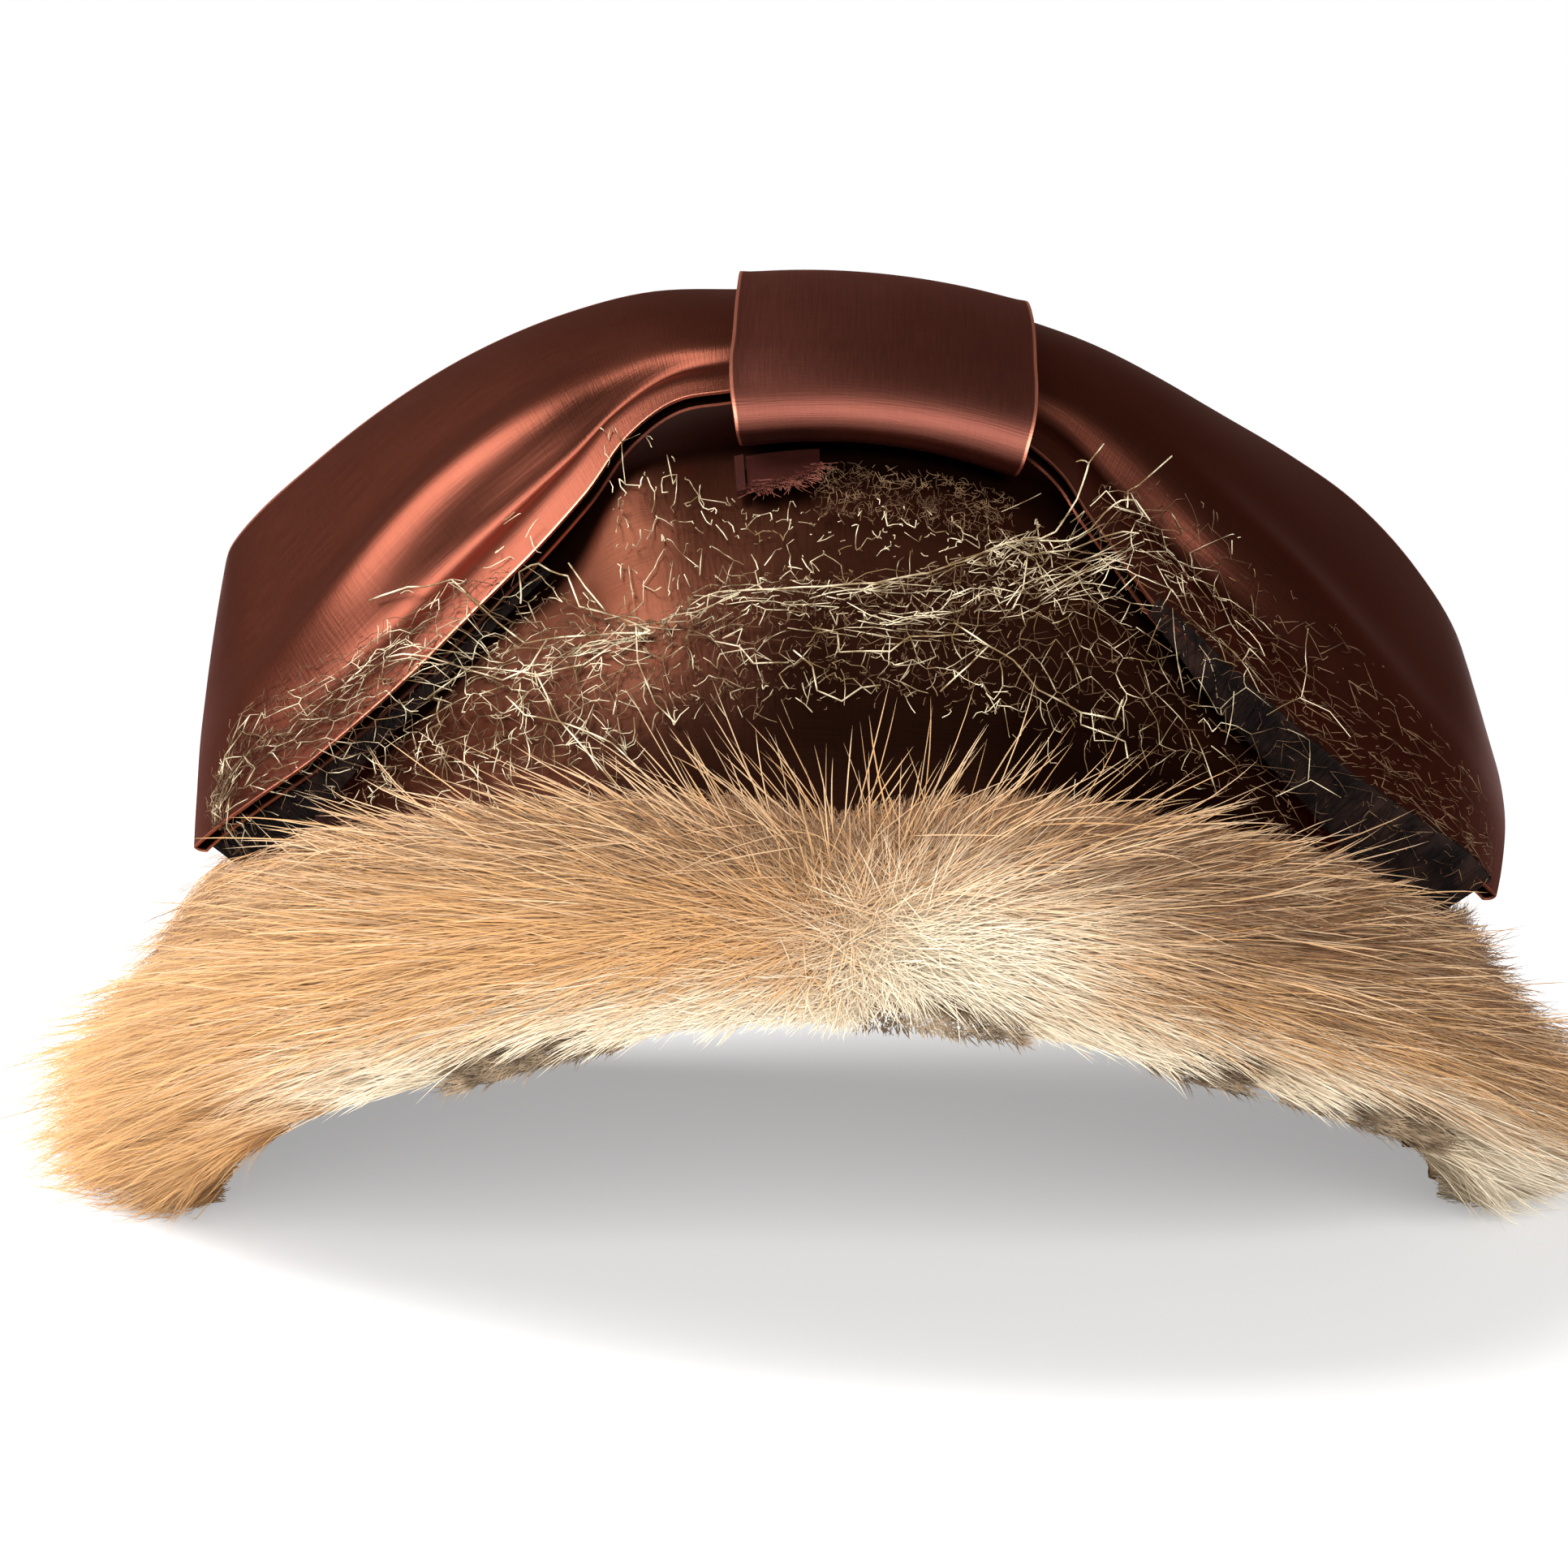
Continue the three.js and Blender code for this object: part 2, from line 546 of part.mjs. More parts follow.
// Six sided cells with shaken corners; cells that share a corner share its shake
function veilCells() {
  const cells = [];
  const r = VEIL_CELL;
  for (let m = -16; m <= 16; m += 1) {
    for (let n = -14; n <= 2; n += 1) {
      const cx = m * r * 1.5;
      const cy = (n + (m % 2 === 0 ? 0 : 0.5)) * r * Math.sqrt(3);
      if (!insideVeil(cx, cy)) continue;
      const corners = [];
      for (let k = 0; k < 6; k += 1) {
        const x = cx + r * Math.cos((k * Math.PI) / 3);
        const y = cy + r * Math.sin((k * Math.PI) / 3);
        const seed = Math.round((x / r) * 2) * 0.37 + Math.round((y / r) * 4) * 0.91;
        corners.push(new THREE.Vector2(x + (wobble(seed) - 0.5) * r * 0.5, y + (wobble(seed + 3.3) - 0.5) * r * 0.5));
      }
      cells.push(corners);
    }
  }
  return cells;
}

function veilGeometry() {
  const cells = veilCells();
  const key = (p) => `${p.x.toFixed(3)},${p.y.toFixed(3)}`;
  const edges = new Map();
  for (const cell of cells) {
    for (let k = 0; k < 6; k += 1) {
      const a = cell[k];
      const b = cell[(k + 1) % 6];
      if (!edges.delete(`${key(b)}|${key(a)}`)) edges.set(`${key(a)}|${key(b)}`, [a, b]);
    }
  }
  const next = new Map();
  for (const [a, b] of edges.values()) next.set(key(a), [a, b]);
  const outline = [];
  const start = next.values().next().value;
  let [here, there] = start;
  do {
    outline.push(here);
    [here, there] = next.get(key(there));
  } while (key(here) !== key(start[0]) && outline.length < 2000);
  const holes = cells.map((cell) => {
    const centre = cell.reduce((sum, p) => sum.clone().add(p)).divideScalar(6);
    return cell.map((p) => {
      const inward = centre.clone().sub(p);
      return p.clone().addScaledVector(inward, (NET_THREAD * 0.42) / inward.length());
    }).reverse();
  });
  const rim = outline.map((p, i) => {
    const before = outline[(i + outline.length - 1) % outline.length];
    const after = outline[(i + 1) % outline.length];
    const along = after.clone().sub(before).normalize();
    return p.clone().add(new THREE.Vector2(along.y, -along.x).multiplyScalar(NET_THREAD * 0.3));
  });
  const faces = THREE.ShapeUtils.triangulateShape(rim, holes);
  const flat = [...rim, ...holes.flat()];
  const count = flat.length;
  const low = flat.map((p) => heightUnder(p.x, p.y) + SEAM_GAP + 0.65);
  const positions = [
    ...flat.map((p, i) => onCrown(p.x, p.y, low[i] + 0.9)),
    ...flat.map((p, i) => onCrown(p.x, p.y, low[i])),
  ];
  const triangles = [];
  for (const [a, b, c] of faces) triangles.push([a, b, c], [a + count, c + count, b + count]);
  let from = 0;
  for (const loop of [rim, ...holes]) {
    for (let i = 0; i < loop.length; i += 1) {
      const a = from + i;
      const b = from + ((i + 1) % loop.length);
      triangles.push([a, a + count, b + count], [a, b + count, b]);
    }
    from += loop.length;
  }
  return solidGeometry(positions, triangles);
}

const veil = new THREE.Mesh(veilGeometry(), VEIL);
veil.name = 'veil';

// The whole hat, with the middle of its footprint at the origin
const hat = new THREE.Group();
hat.name = 'half_hat';
const pieces = [crown, furBand, bowLoopLeft, bowLoopRight, bowKnot, bowTail, veil, gatherLeft, gatherRight];
const bounds = new THREE.Box3();
for (const piece of pieces) bounds.union(new THREE.Box3().setFromObject(piece));
const middle = bounds.getCenter(new THREE.Vector3());
for (const piece of pieces) {
  piece.geometry.translate(-middle.x, -middle.y, -bounds.min.z);
  hat.add(piece);
}

export default hat;
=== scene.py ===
import math
import bpy
import numpy as np
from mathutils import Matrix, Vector
from mathutils.bvhtree import BVHTree


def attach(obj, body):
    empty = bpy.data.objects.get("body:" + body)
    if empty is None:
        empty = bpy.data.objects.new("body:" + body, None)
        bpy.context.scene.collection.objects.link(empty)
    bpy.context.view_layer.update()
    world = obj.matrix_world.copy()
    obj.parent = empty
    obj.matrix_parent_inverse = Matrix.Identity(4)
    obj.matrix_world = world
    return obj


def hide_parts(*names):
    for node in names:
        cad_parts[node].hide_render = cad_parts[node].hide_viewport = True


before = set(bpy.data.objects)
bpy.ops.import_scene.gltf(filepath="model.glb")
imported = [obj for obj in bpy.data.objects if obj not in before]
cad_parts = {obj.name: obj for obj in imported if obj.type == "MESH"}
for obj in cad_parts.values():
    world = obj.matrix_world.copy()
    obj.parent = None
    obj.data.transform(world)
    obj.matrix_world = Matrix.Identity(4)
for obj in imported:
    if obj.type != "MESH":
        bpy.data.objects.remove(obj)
bpy.ops.object.select_all(action="DESELECT")
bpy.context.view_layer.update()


# Crown
# A stiffened half shell that clasps from side to side, covered in copper brown satin.
# The cloth is stretched over it, so it only shows shallow dimples, and its back edge is bound.
# Half axes and centre of the shell's outer face, and its wall with the cloth on it, in mm
HALF_WIDTH = 79
HALF_DEPTH = 92
RISE = 96
CROWN_CENTRE = np.array([0.0, 20.468, 6.5])
CROWN_WALL = 2.0
WALL_MIDDLE = -1.2


def on_crown(across, along, off):
    """A place over the crown in metres: degrees from side to side, degrees front to back, mm out."""
    a, b, off = np.broadcast_arrays(np.radians(across), np.radians(along), off)
    out = [
        (HALF_WIDTH + off) * np.sin(a) * np.cos(b),
        (HALF_DEPTH + off) * np.sin(b),
        (RISE + off) * np.cos(a) * np.cos(b),
    ]
    return (np.stack(out, axis=-1) + CROWN_CENTRE) * 0.001


def section(table, place):
    """The columns of a table of rows at places from 0 to 1, on a smooth curve through its rows."""
    rows = np.array(table, float)
    at = np.clip(np.asarray(place, float), 0, 1) * (len(rows) - 1)
    i = np.minimum(at.astype(int), len(rows) - 2)
    t = (at - i)[..., None]
    before, start, end, after = (rows[np.clip(i + k, 0, len(rows) - 1)] for k in (-1, 0, 1, 2))
    leave, arrive = (end - before) / 2, (after - start) / 2
    smooth = (2 * t**3 - 3 * t**2 + 1) * start + (3 * t**2 - 2 * t**3) * end
    smooth += (t**3 - 2 * t**2 + t) * leave + (t**3 - t**2) * arrive
    return np.moveaxis(smooth, -1, 0)


def lay_cloth(name, places, wall, closed=False):
    """A flat grid of cloth laid through the places, joined where it closes, and given its wall."""
    rows, cols = places.shape[:2]
    bpy.ops.mesh.primitive_grid_add(x_subdivisions=cols - 1, y_subdivisions=rows - 1, size=1)
    piece = bpy.context.object
    piece.name = name
    piece.data.vertices.foreach_set("co", places.reshape(-1))
    bpy.ops.object.mode_set(mode="EDIT")
    bpy.ops.mesh.select_all(action="SELECT")
    if closed:
        bpy.ops.mesh.remove_doubles(threshold=0.00001)
    bpy.ops.mesh.normals_make_consistent(inside=False)
    bpy.ops.object.mode_set(mode="OBJECT")
    thick = piece.modifiers.new("wall", "SOLIDIFY")
    thick.thickness = wall * 0.001
    thick.offset = 0
    bpy.ops.object.modifier_apply(modifier="wall")
    bpy.ops.object.shade_smooth_by_angle(angle=math.radians(50))
    piece.select_set(False)
    return piece


# across, front edge, back edge, all in degrees
CROWN_EDGES = [
    (0, -66.5, 34),
    (15.6, -65.5, 34),
    (31.2, -61.5, 33),
    (46.8, -55, 31),
    (62.4, -43, 29),
    (78, -27, 26),
    (93.6, -9, 23),
]
CROWN_REACH = CROWN_EDGES[-1][0]
# across, along, width, length, rise: the first six are broad, the rest are small dimples
CROWN_DENTS = [
    (-19, -21, 6.5, 9.5, 2.4),
    (-20, -41, 7, 10, 0.9),
    (-27, -27, 5, 6, -1.0),
    (4, -40, 9, 14, -0.7),
    (18, -38, 8, 14, 0.7),
    (-18, -21, 5, 4, 0.6),
    (-8, -46, 6, 6, 0.5),
    (-16.5, -24.5, 1.3, 1.1, -0.5),
    (-18, -28, 1.4, 1.0, -0.45),
    (-20, -37, 1.8, 2.2, -0.3),
    (27, -30, 2.5, 5, -0.5),
]

crown_across = np.linspace(-91.5, 91.5, 121)[:, None]
_, crown_front, crown_back = section(CROWN_EDGES, abs(crown_across) / CROWN_REACH)
crown_step = np.linspace(0, 1, 71)[None, :]
crown_along = crown_front + (crown_back - crown_front) * crown_step
crown_off = WALL_MIDDLE + np.zeros_like(crown_along)
for across, along, width, length, rise in CROWN_DENTS:
    away = ((crown_across - across) / width) ** 2 + ((crown_along - along) / length) ** 2
    crown_off += rise * np.exp(-away)
crown = lay_cloth("crown_cover", on_crown(crown_across, crown_along, crown_off), CROWN_WALL)

# The back edge is bound with a narrow rolled strip of the same satin: half width in degrees,
# half height in mm
BINDING_WIDE = 0.95
BINDING_HIGH = 1.5
bind_across = np.linspace(-91, 91, 121)[:, None]
_, _, bind_along = section(CROWN_EDGES, abs(bind_across) / CROWN_REACH)
bind_turn = np.radians(np.linspace(0, 360, 13))[None, :]
bind_along = bind_along + 0.2 + BINDING_WIDE * np.cos(bind_turn)
bind_off = WALL_MIDDLE - 0.2 + BINDING_HIGH * np.sin(bind_turn)
crown_binding = lay_cloth("crown_binding", on_crown(bind_across, bind_along, bind_off), 0.3, closed=True)


def feed(tree, node, inputs):
    """Gives each named input of a node its value, or joins it to the output of another node."""
    for name, value in inputs.items():
        if isinstance(value, bpy.types.NodeSocket):
            tree.links.new(value, node.inputs[name])
        else:
            node.inputs[name].default_value = value
    return node


def add_node(tree, kind, inputs=None, **settings):
    """A new shader node of a kind, with its settings and its inputs."""
    node = tree.nodes.new("ShaderNode" + kind)
    for name, value in settings.items():
        setattr(node, name, value)
    return feed(tree, node, inputs or {})


def mixed(tree, amount, under, over, way="MIX"):
    """One colour laid over another, or multiplied with it."""
    inputs = {"Factor": amount, "A": under, "B": over}
    return add_node(tree, "Mix", inputs, data_type="RGBA", blend_type=way).outputs["Result"]


def new_material(name):
    """A new material, its node tree and its shader."""
    material = bpy.data.materials.new(name)
    material.use_nodes = True
    return material, material.node_tree, material.node_tree.nodes["Principled BSDF"]


def satin_threads():
    """Group: fine warp and weft of satin, its slubs and soft clouds of colour, on a piece's own map."""
    group = bpy.data.node_groups.new("satin_threads", "ShaderNodeTree")
    sockets = [
        ("Place", "INPUT", "Vector"),
        ("Deep", "INPUT", "Color"),
        ("Lit", "INPUT", "Color"),
        ("Colour", "OUTPUT", "Color"),
        ("Roughness", "OUTPUT", "Float"),
        ("Height", "OUTPUT", "Float"),
    ]
    for name, way, kind in sockets:
        group.interface.new_socket(name, in_out=way, socket_type="NodeSocket" + kind)
    came = group.nodes.new("NodeGroupInput").outputs
    goes = group.nodes.new("NodeGroupOutput")

    def noise(stretch, detail, size):
        drawn = add_node(group, "Mapping", {"Vector": came["Place"], "Scale": stretch})
        settings = {"Vector": drawn.outputs["Vector"], "Scale": size, "Detail": detail}
        return add_node(group, "TexNoise", settings).outputs["Fac"]

    weft = noise((30, 2.2, 1), 2, 90)
    warp = noise((2, 34, 1), 1, 90)
    cloud = noise((1, 1, 1), 3, 60)
    grain = add_node(group, "Math", {0: weft, 1: warp}, operation="ADD").outputs[0]
    shading = {"Value": grain, "From Min": 0.6, "From Max": 1.4, "To Min": 0.93, "To Max": 1.06}
    shade = add_node(group, "MapRange", shading).outputs["Result"]
    rough = add_node(group, "MapRange", {"Value": weft, "To Min": 0.33, "To Max": 0.41}).outputs["Result"]
    colour = mixed(group, 1, mixed(group, cloud, came["Deep"], came["Lit"]), shade, "MULTIPLY")
    feed(group, goes, {"Colour": colour, "Roughness": rough, "Height": grain})
    return group


SATIN_THREADS = satin_threads()


def satin(name, deep, lit, cloth_size, metal, sheen, edge=0.0, dull=0.0):
    """Satin of two colours on a cut of cloth_size metres, with a painted copper highlight on a line of
    edge metres along its sides, and rougher by dull where it was handled."""
    material, tree, shader = new_material(name)
    own_map = add_node(tree, "UVMap", uv_map="UVMap").outputs["UV"]
    true_size = add_node(tree, "Mapping", {"Vector": own_map, "Scale": (*cloth_size, 1)}).outputs["Vector"]
    cloth = {"Place": true_size, "Deep": (*deep, 1), "Lit": (*lit, 1)}
    threads = add_node(tree, "Group", cloth, node_tree=SATIN_THREADS).outputs
    bump = add_node(tree, "Bump", {"Strength": 0.25, "Distance": 0.00008, "Height": threads["Height"]})
    split = add_node(tree, "SeparateXYZ", {"Vector": own_map})
    from_side = add_node(tree, "Math", {0: split.outputs["X"], 1: 0.5}, operation="PINGPONG").outputs[0]
    # The copper line along both sides is a painted highlight where the ribbon's edges catch the light
    share = edge / cloth_size[0]
    line = {
        "Value": from_side,
        "From Min": share,
        "From Max": 1.6 * share + 0.0001,
        "To Min": 0.6 if edge else 0,
        "To Max": 0,
    }
    edge_highlight = add_node(tree, "MapRange", line).outputs["Result"]
    handled = add_node(tree, "Math", {0: threads["Roughness"], 1: dull})
    finish = {
        "Base Color": mixed(tree, edge_highlight, threads["Colour"], (0.7, 0.26, 0.17, 1)),
        "Roughness": handled.outputs[0],
        "Normal": bump.outputs["Normal"],
        "Metallic": metal,
        "Specular IOR Level": sheen,
        "Specular Tint": (0.8, 0.53, 0.5, 1),
    }
    feed(tree, shader, finish)
    return material


def map_sides(tree):
    """The two sides of a piece's own map, X and Y, each from 0 to 1."""
    own_map = add_node(tree, "UVMap", uv_map="UVMap").outputs["UV"]
    return add_node(tree, "SeparateXYZ", {"Vector": own_map}).outputs


CROWN_DEEP = (0.05, 0.015, 0.008)
CROWN_LIT = (0.085, 0.031, 0.018)
CROWN_SATIN = satin("crown_satin", CROWN_DEEP, CROWN_LIT, (0.27, 0.15), 1.0, 0.5, dull=0.04)
# Towards the fur and under the left loop the crown's satin is darkened: this is painted shade
tree = CROWN_SATIN.node_tree
crown_sides = map_sides(tree)
crown_left = add_node(tree, "Math", {0: crown_sides["Y"], 1: 0.38}, operation="SUBTRACT").outputs[0]
crown_aside = add_node(tree, "Math", {0: crown_left, 1: 0}, operation="MINIMUM").outputs[0]
crown_height = add_node(tree, "Math", {0: crown_sides["X"], 1: crown_aside}).outputs[0]
crown_shade_range = {"Value": crown_height, "From Min": 0.17, "From Max": 0.32, "To Min": 0.22}
crown_painted_shade = add_node(tree, "MapRange", crown_shade_range, interpolation_type="SMOOTHSTEP").outputs["Result"]
crown_shader = tree.nodes["Principled BSDF"]
crown_colour = crown_shader.inputs["Base Color"].links[0].from_socket
feed(tree, crown_shader, {"Base Color": mixed(tree, 1, crown_colour, crown_painted_shade, "MULTIPLY")})
for piece in (crown, crown_binding):
    piece.data.materials.append(CROWN_SATIN)
    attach(piece, "root")
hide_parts("crown")


# Bow loops
# Each side of the bow is one length of wide ribbon folded over on itself at its end, with both
# layers drawn together under the knot, where the upper one is pleated into a forward roll.
# across, along, front height, ridge height, back across, back along, back height, under height, pleat
LEFT_LOOP = [
    (-3, -16.5, 7.4, 9.6, -2.5, 4.3, 12.8, 10.4, 1),
    (-8.7, -17, 7.4, 9.8, -7.7, 4.3, 13.4, 10.8, 1),
    (-13.5, -16.5, 7.4, 10.2, -14.6, 4.8, 15.7, 10.5, 1),
    (-18, -18.5, 6.4, 9.8, -21.3, 5.8, 17.2, 9.5, 0.9),
    (-23, -22.5, 4.6, 9.2, -29, 7.2, 19.0, 9, 0.7),
    (-31, -25.6, 3.6, 8.2, -37.1, 8.6, 21.1, 9.5, 0.45),
    (-42.7, -26.5, 3.6, 7.4, -44.3, 10, 23.5, 12, 0.2),
    (-53.3, -23.5, 4.8, 8.2, -50.1, 11.7, 26.4, 17, 0),
    (-61.1, -18.7, 7.6, 11.0, -53.5, 13.4, 28.2, 22, 0),
    (-67.8, -12.2, 10.6, 13.6, -55, 14.3, 28.4, 24, 0),
]
RIGHT_LOOP = [
    (12, -17.5, 6.0, 9.0, 10.8, 4.3, 12.6, 10.0, 1),
    (17.1, -19.4, 5.4, 9.0, 16, 4.3, 12.8, 10.2, 1),
    (20.4, -21.2, 4.8, 9.2, 21.7, 4.9, 13.3, 9.6, 1),
    (24, -24.5, 3.8, 8.8, 28.6, 5.9, 14.0, 9, 1),
    (31, -29.5, 3.6, 8.0, 34.8, 7.5, 15.6, 9, 0.9),
    (39, -30.4, 3.6, 7.4, 40.9, 8.8, 18.3, 9.5, 0.6),
    (49, -28.8, 4.0, 7.6, 47.2, 10.1, 21.6, 12, 0.25),
    (57, -25.6, 5.8, 9.4, 54.3, 11.8, 24.6, 16, 0),
    (64, -21, 8.6, 12.6, 60.5, 12.6, 26.0, 20, 0),
    (71, -14.6, 12.4, 15.6, 65.5, 11.8, 23.6, 19.5, 0),
]
# The ridge's place across the ribbon, the layers' gap in mm, and the folds' reach at both ends
RIDGE_PLACE = 0.32
LAYER_GAP = 1.5
END_FOLD = 0.2
KNOT_FOLD = 0.25


def between(a, b, t):
    return a + (b - a) * t


def unit(vectors):
    return vectors / np.maximum(np.linalg.norm(vectors, axis=-1, keepdims=True), 1e-12)


def hump(x, middle, wide, power=2):
    """A smooth hump of height 1 round its middle."""
    return np.exp(-(((x - middle) / wide) ** power))


def across_ribbon(row, width, front, ridge, back):
    """Places across the ribbon, on a curve through its front edge, its ridge and its back edge."""

    def place(at, off):
        return on_crown(between(row[0], row[4], at), between(row[1], row[5], at), off)

    w, r = width[..., None], RIDGE_PLACE
    return (
        place(0, front) * (w - r) * (w - 1) / r
        + place(r, ridge) * w * (w - 1) / (r * (r - 1))
        + place(1, back) * w * (w - r) / (1 - r)
    )


def loop_layers(table, steps, valley):
    """The upper and the lower layer of one loop, from the knot to the fold at its end."""
    width = np.concatenate([np.linspace(0, 0.46, 30), np.linspace(0.49, 1, 18)])[None, :]
    row = [column[:, None] for column in section(table, np.linspace(0, 1, steps))]
    across, along, front, ridge, _, _, back, under, pleat = row
    over_crown = lambda off: on_crown(between(row[0], row[4], width), between(row[1], row[5], width), off)
    upper = across_ribbon(row, width, front, ridge, back)
    # The pleat tucks the cloth in front of the ridge back under the roll
    tuck = hump(width, 0.16, 0.085, 4) * pleat
    upper = between(upper, over_crown(front + 0.5 + 1.5 * width), tuck[..., None])
    # Further out the roll goes on broad and soft, over a valley and a second, smaller fold
    out_to = np.linspace(0, 1, steps)[:, None]
    opening = valley * hump(out_to, 0.42, 0.2)
    rolling = valley * hump(out_to, 0.62, 0.2)
    waves = opening * (-1.5 * hump(width, 0.235, 0.05) + 0.7 * hump(width, 0.12, 0.05))
    waves = waves + rolling * (2.6 * hump(width, 0.37, 0.1) - 1.2 * hump(width, 0.18, 0.08))
    outwards = unit(over_crown(20.0) - over_crown(0.0))
    upper = upper + outwards * (0.001 * waves)[..., None]
    low_front = front - LAYER_GAP
    loose = np.minimum(low_front + 0.6 + 0.4 * (ridge - front), ridge - 2.6)
    low_ridge = between(loose, low_front + 0.5, pleat)
    lower = across_ribbon(row, width, low_front, low_ridge, under)
    tuck = hump(width, 0.14, 0.12, 4) * pleat
    lower = between(lower, over_crown(low_front + 0.3), tuck[..., None])
    return upper, lower


def fold_over(one, other, outwards, reach):
    """The rows of a fold that joins the ends of two layers."""
    gap = np.minimum(np.linalg.norm(one - other, axis=-1, keepdims=True), 0.006)
    turns = np.linspace(0, 1, 11)[1:-1]
    return [between(one, other, t) + unit(outwards) * gap * reach * math.sin(math.pi * t) for t in turns]


def ribbon_loop(name, table, valley):
    """One length of ribbon: out along the top, round the fold at the end and back underneath."""
    upper, lower = loop_layers(table, 61, valley)
    end = fold_over(upper[-1], lower[-1], upper[-1, 15] - upper[-2, 15], END_FOLD)
    start = fold_over(lower[0], upper[0], upper[0, 15] - upper[1, 15], KNOT_FOLD)
    places = np.concatenate([upper, end, lower[::-1], start, upper[:1]])
    return lay_cloth(name, places, 0.35, closed=True)


loop_left = ribbon_loop("ribbon_loop_left", LEFT_LOOP, 1.0)
loop_right = ribbon_loop("ribbon_loop_right", RIGHT_LOOP, 0.7)
RIBBON_DEEP = (0.078, 0.022, 0.013)
RIBBON_LIT = (0.113, 0.035, 0.022)
RIBBON_SATIN = satin("ribbon_satin", RIBBON_DEEP, RIBBON_LIT, (0.06, 0.23), 1.0, 0.5, edge=0.0003)
for piece, node in ((loop_left, "bow_loop_left"), (loop_right, "bow_loop_right")):
    piece.data.materials.append(RIBBON_SATIN)
    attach(piece, "root")
    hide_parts(node)


# Knot
# A strap of the same ribbon, folded to two thirds of its width, passes over both loops. It lies flat
# on top, turns down over the front in a full round roll, and its folded sides stand as thin edges.
# along, left edge across, right edge across, left height, right height
KNOT_ROUND = [
    (5.7, -7.2, 16.0, 9, 8.5),
    (5.6, -7.2, 16.0, 14.9, 14.4),
    (-4, -7.5, 16.1, 13.7, 13.3),
    (-13, -8.0, 16.3, 11.9, 11.4),
    (-16.8, -8.4, 16.6, 11.1, 10.3),
    (-19.6, -8.6, 16.8, 9.7, 8.8),
    (-21.2, -8.6, 16.8, 7.3, 6.3),
    (-21.4, -8.6, 16.8, 5.1, 4.0),
    (-19.6, -8.4, 16.6, 2.6, 1.7),
    (-12, -8.0, 16.3, 2.0, 1.3),
    (0, -7.6, 16.1, 1.6, 1.4),
    (4.6, -7.4, 16.0, 4.0, 3.6),
]

knot_rows = KNOT_ROUND[-2:] + KNOT_ROUND + KNOT_ROUND[:3]
knot_place = np.linspace(2, 14, 97) / (len(knot_rows) - 1)
knot_along, knot_left, knot_right, left_height, right_height = (
    column[:, None] for column in section(knot_rows, knot_place)
)
knot_width = np.linspace(0, 1, 33)[None, :]
knot_sag = -0.45 * np.sin(np.pi * knot_width) * np.clip((left_height - 3) / 9, 0, 1)
# The folded sides curl up slightly
knot_curl = 0.25 * (np.exp(-knot_width / 0.03) + np.exp(-(1 - knot_width) / 0.03))
knot_across = between(knot_left, knot_right, knot_width)
knot_off = between(left_height, right_height, knot_width) + knot_sag + knot_curl
knot = lay_cloth("ribbon_knot", on_crown(knot_across, knot_along, knot_off), 0.9, closed=True)
KNOT_DEEP = (0.084, 0.026, 0.018)
KNOT_LIT = (0.128, 0.042, 0.03)
KNOT_SATIN = satin("knot_satin", KNOT_DEEP, KNOT_LIT, (0.04, 0.07), 1.0, 0.5, edge=0.0003, dull=0.1)
knot.data.materials.append(KNOT_SATIN)
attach(knot, "root")
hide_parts("bow_knot")


# Fur band
# A strip of long haired fur on its pelt, sewn along the crown's front edge so that its two ends
# hang down at the sides. The hair fans out a little right of the middle and streams to both ends.
# rim across, rim along, top across, top along, pile in mm
FUR_ROWS = [
    (0, -68.5, 0, -55, 2.8),
    (21, -67.3, 17, -52, 2.8),
    (40, -63.8, 32, -47.5, 3.0),
    (58, -57.3, 45, -40.5, 3.6),
    (70, -48.5, 55, -31, 4.6),
    (80, -37, 63, -21, 6.4),
    (88, -24, 68.5, -9, 8),
    (95, -11, 71.5, 7, 9),
    (99, 5, 74, 22, 9),
    (99.5, 17, 85, 25, 8),
    (99.5, 22, 96, 25, 7),
]
# Height of the pelt over the crown and of what lies on the floor over it, in mm and metres
FUR_LIE = 0.65
FLOOR_GAP = 0.0008
RIGHT_DROP = 5
# Where the hair fans out, and how long each half of the band and how deep it is, in mm
FAN = (0.02, 0.45)
HALF_LENGTH = 120
BAND_DEPTH = 22
# Locks along and up the band, and the crown's mean radius in metres
LOCKS_ALONG = 140
LOCKS_UP = 14
CROWN_ROUND = 0.088


def fur_place(t, v, share):
    """A place on the band: t from left to right, v from rim to top, share of the pile's height."""
    rim_across, rim_along, top_across, top_along, pile = section(FUR_ROWS, abs(t))
    drop = np.where(t > 0, RIGHT_DROP * v * np.minimum(1, t / 0.5), 0)
    across = np.where(t < 0, -1, 1) * (between(rim_across, top_across, v) + drop)
    places = on_crown(across, between(rim_along, top_along, v), FUR_LIE + share * pile)
    places[..., 2] = np.maximum(places[..., 2], FLOOR_GAP)
    return places


def soft_step(x, low, high):
    x = np.clip((x - low) / (high - low), 0, 1)
    return x * x * (3 - 2 * x)


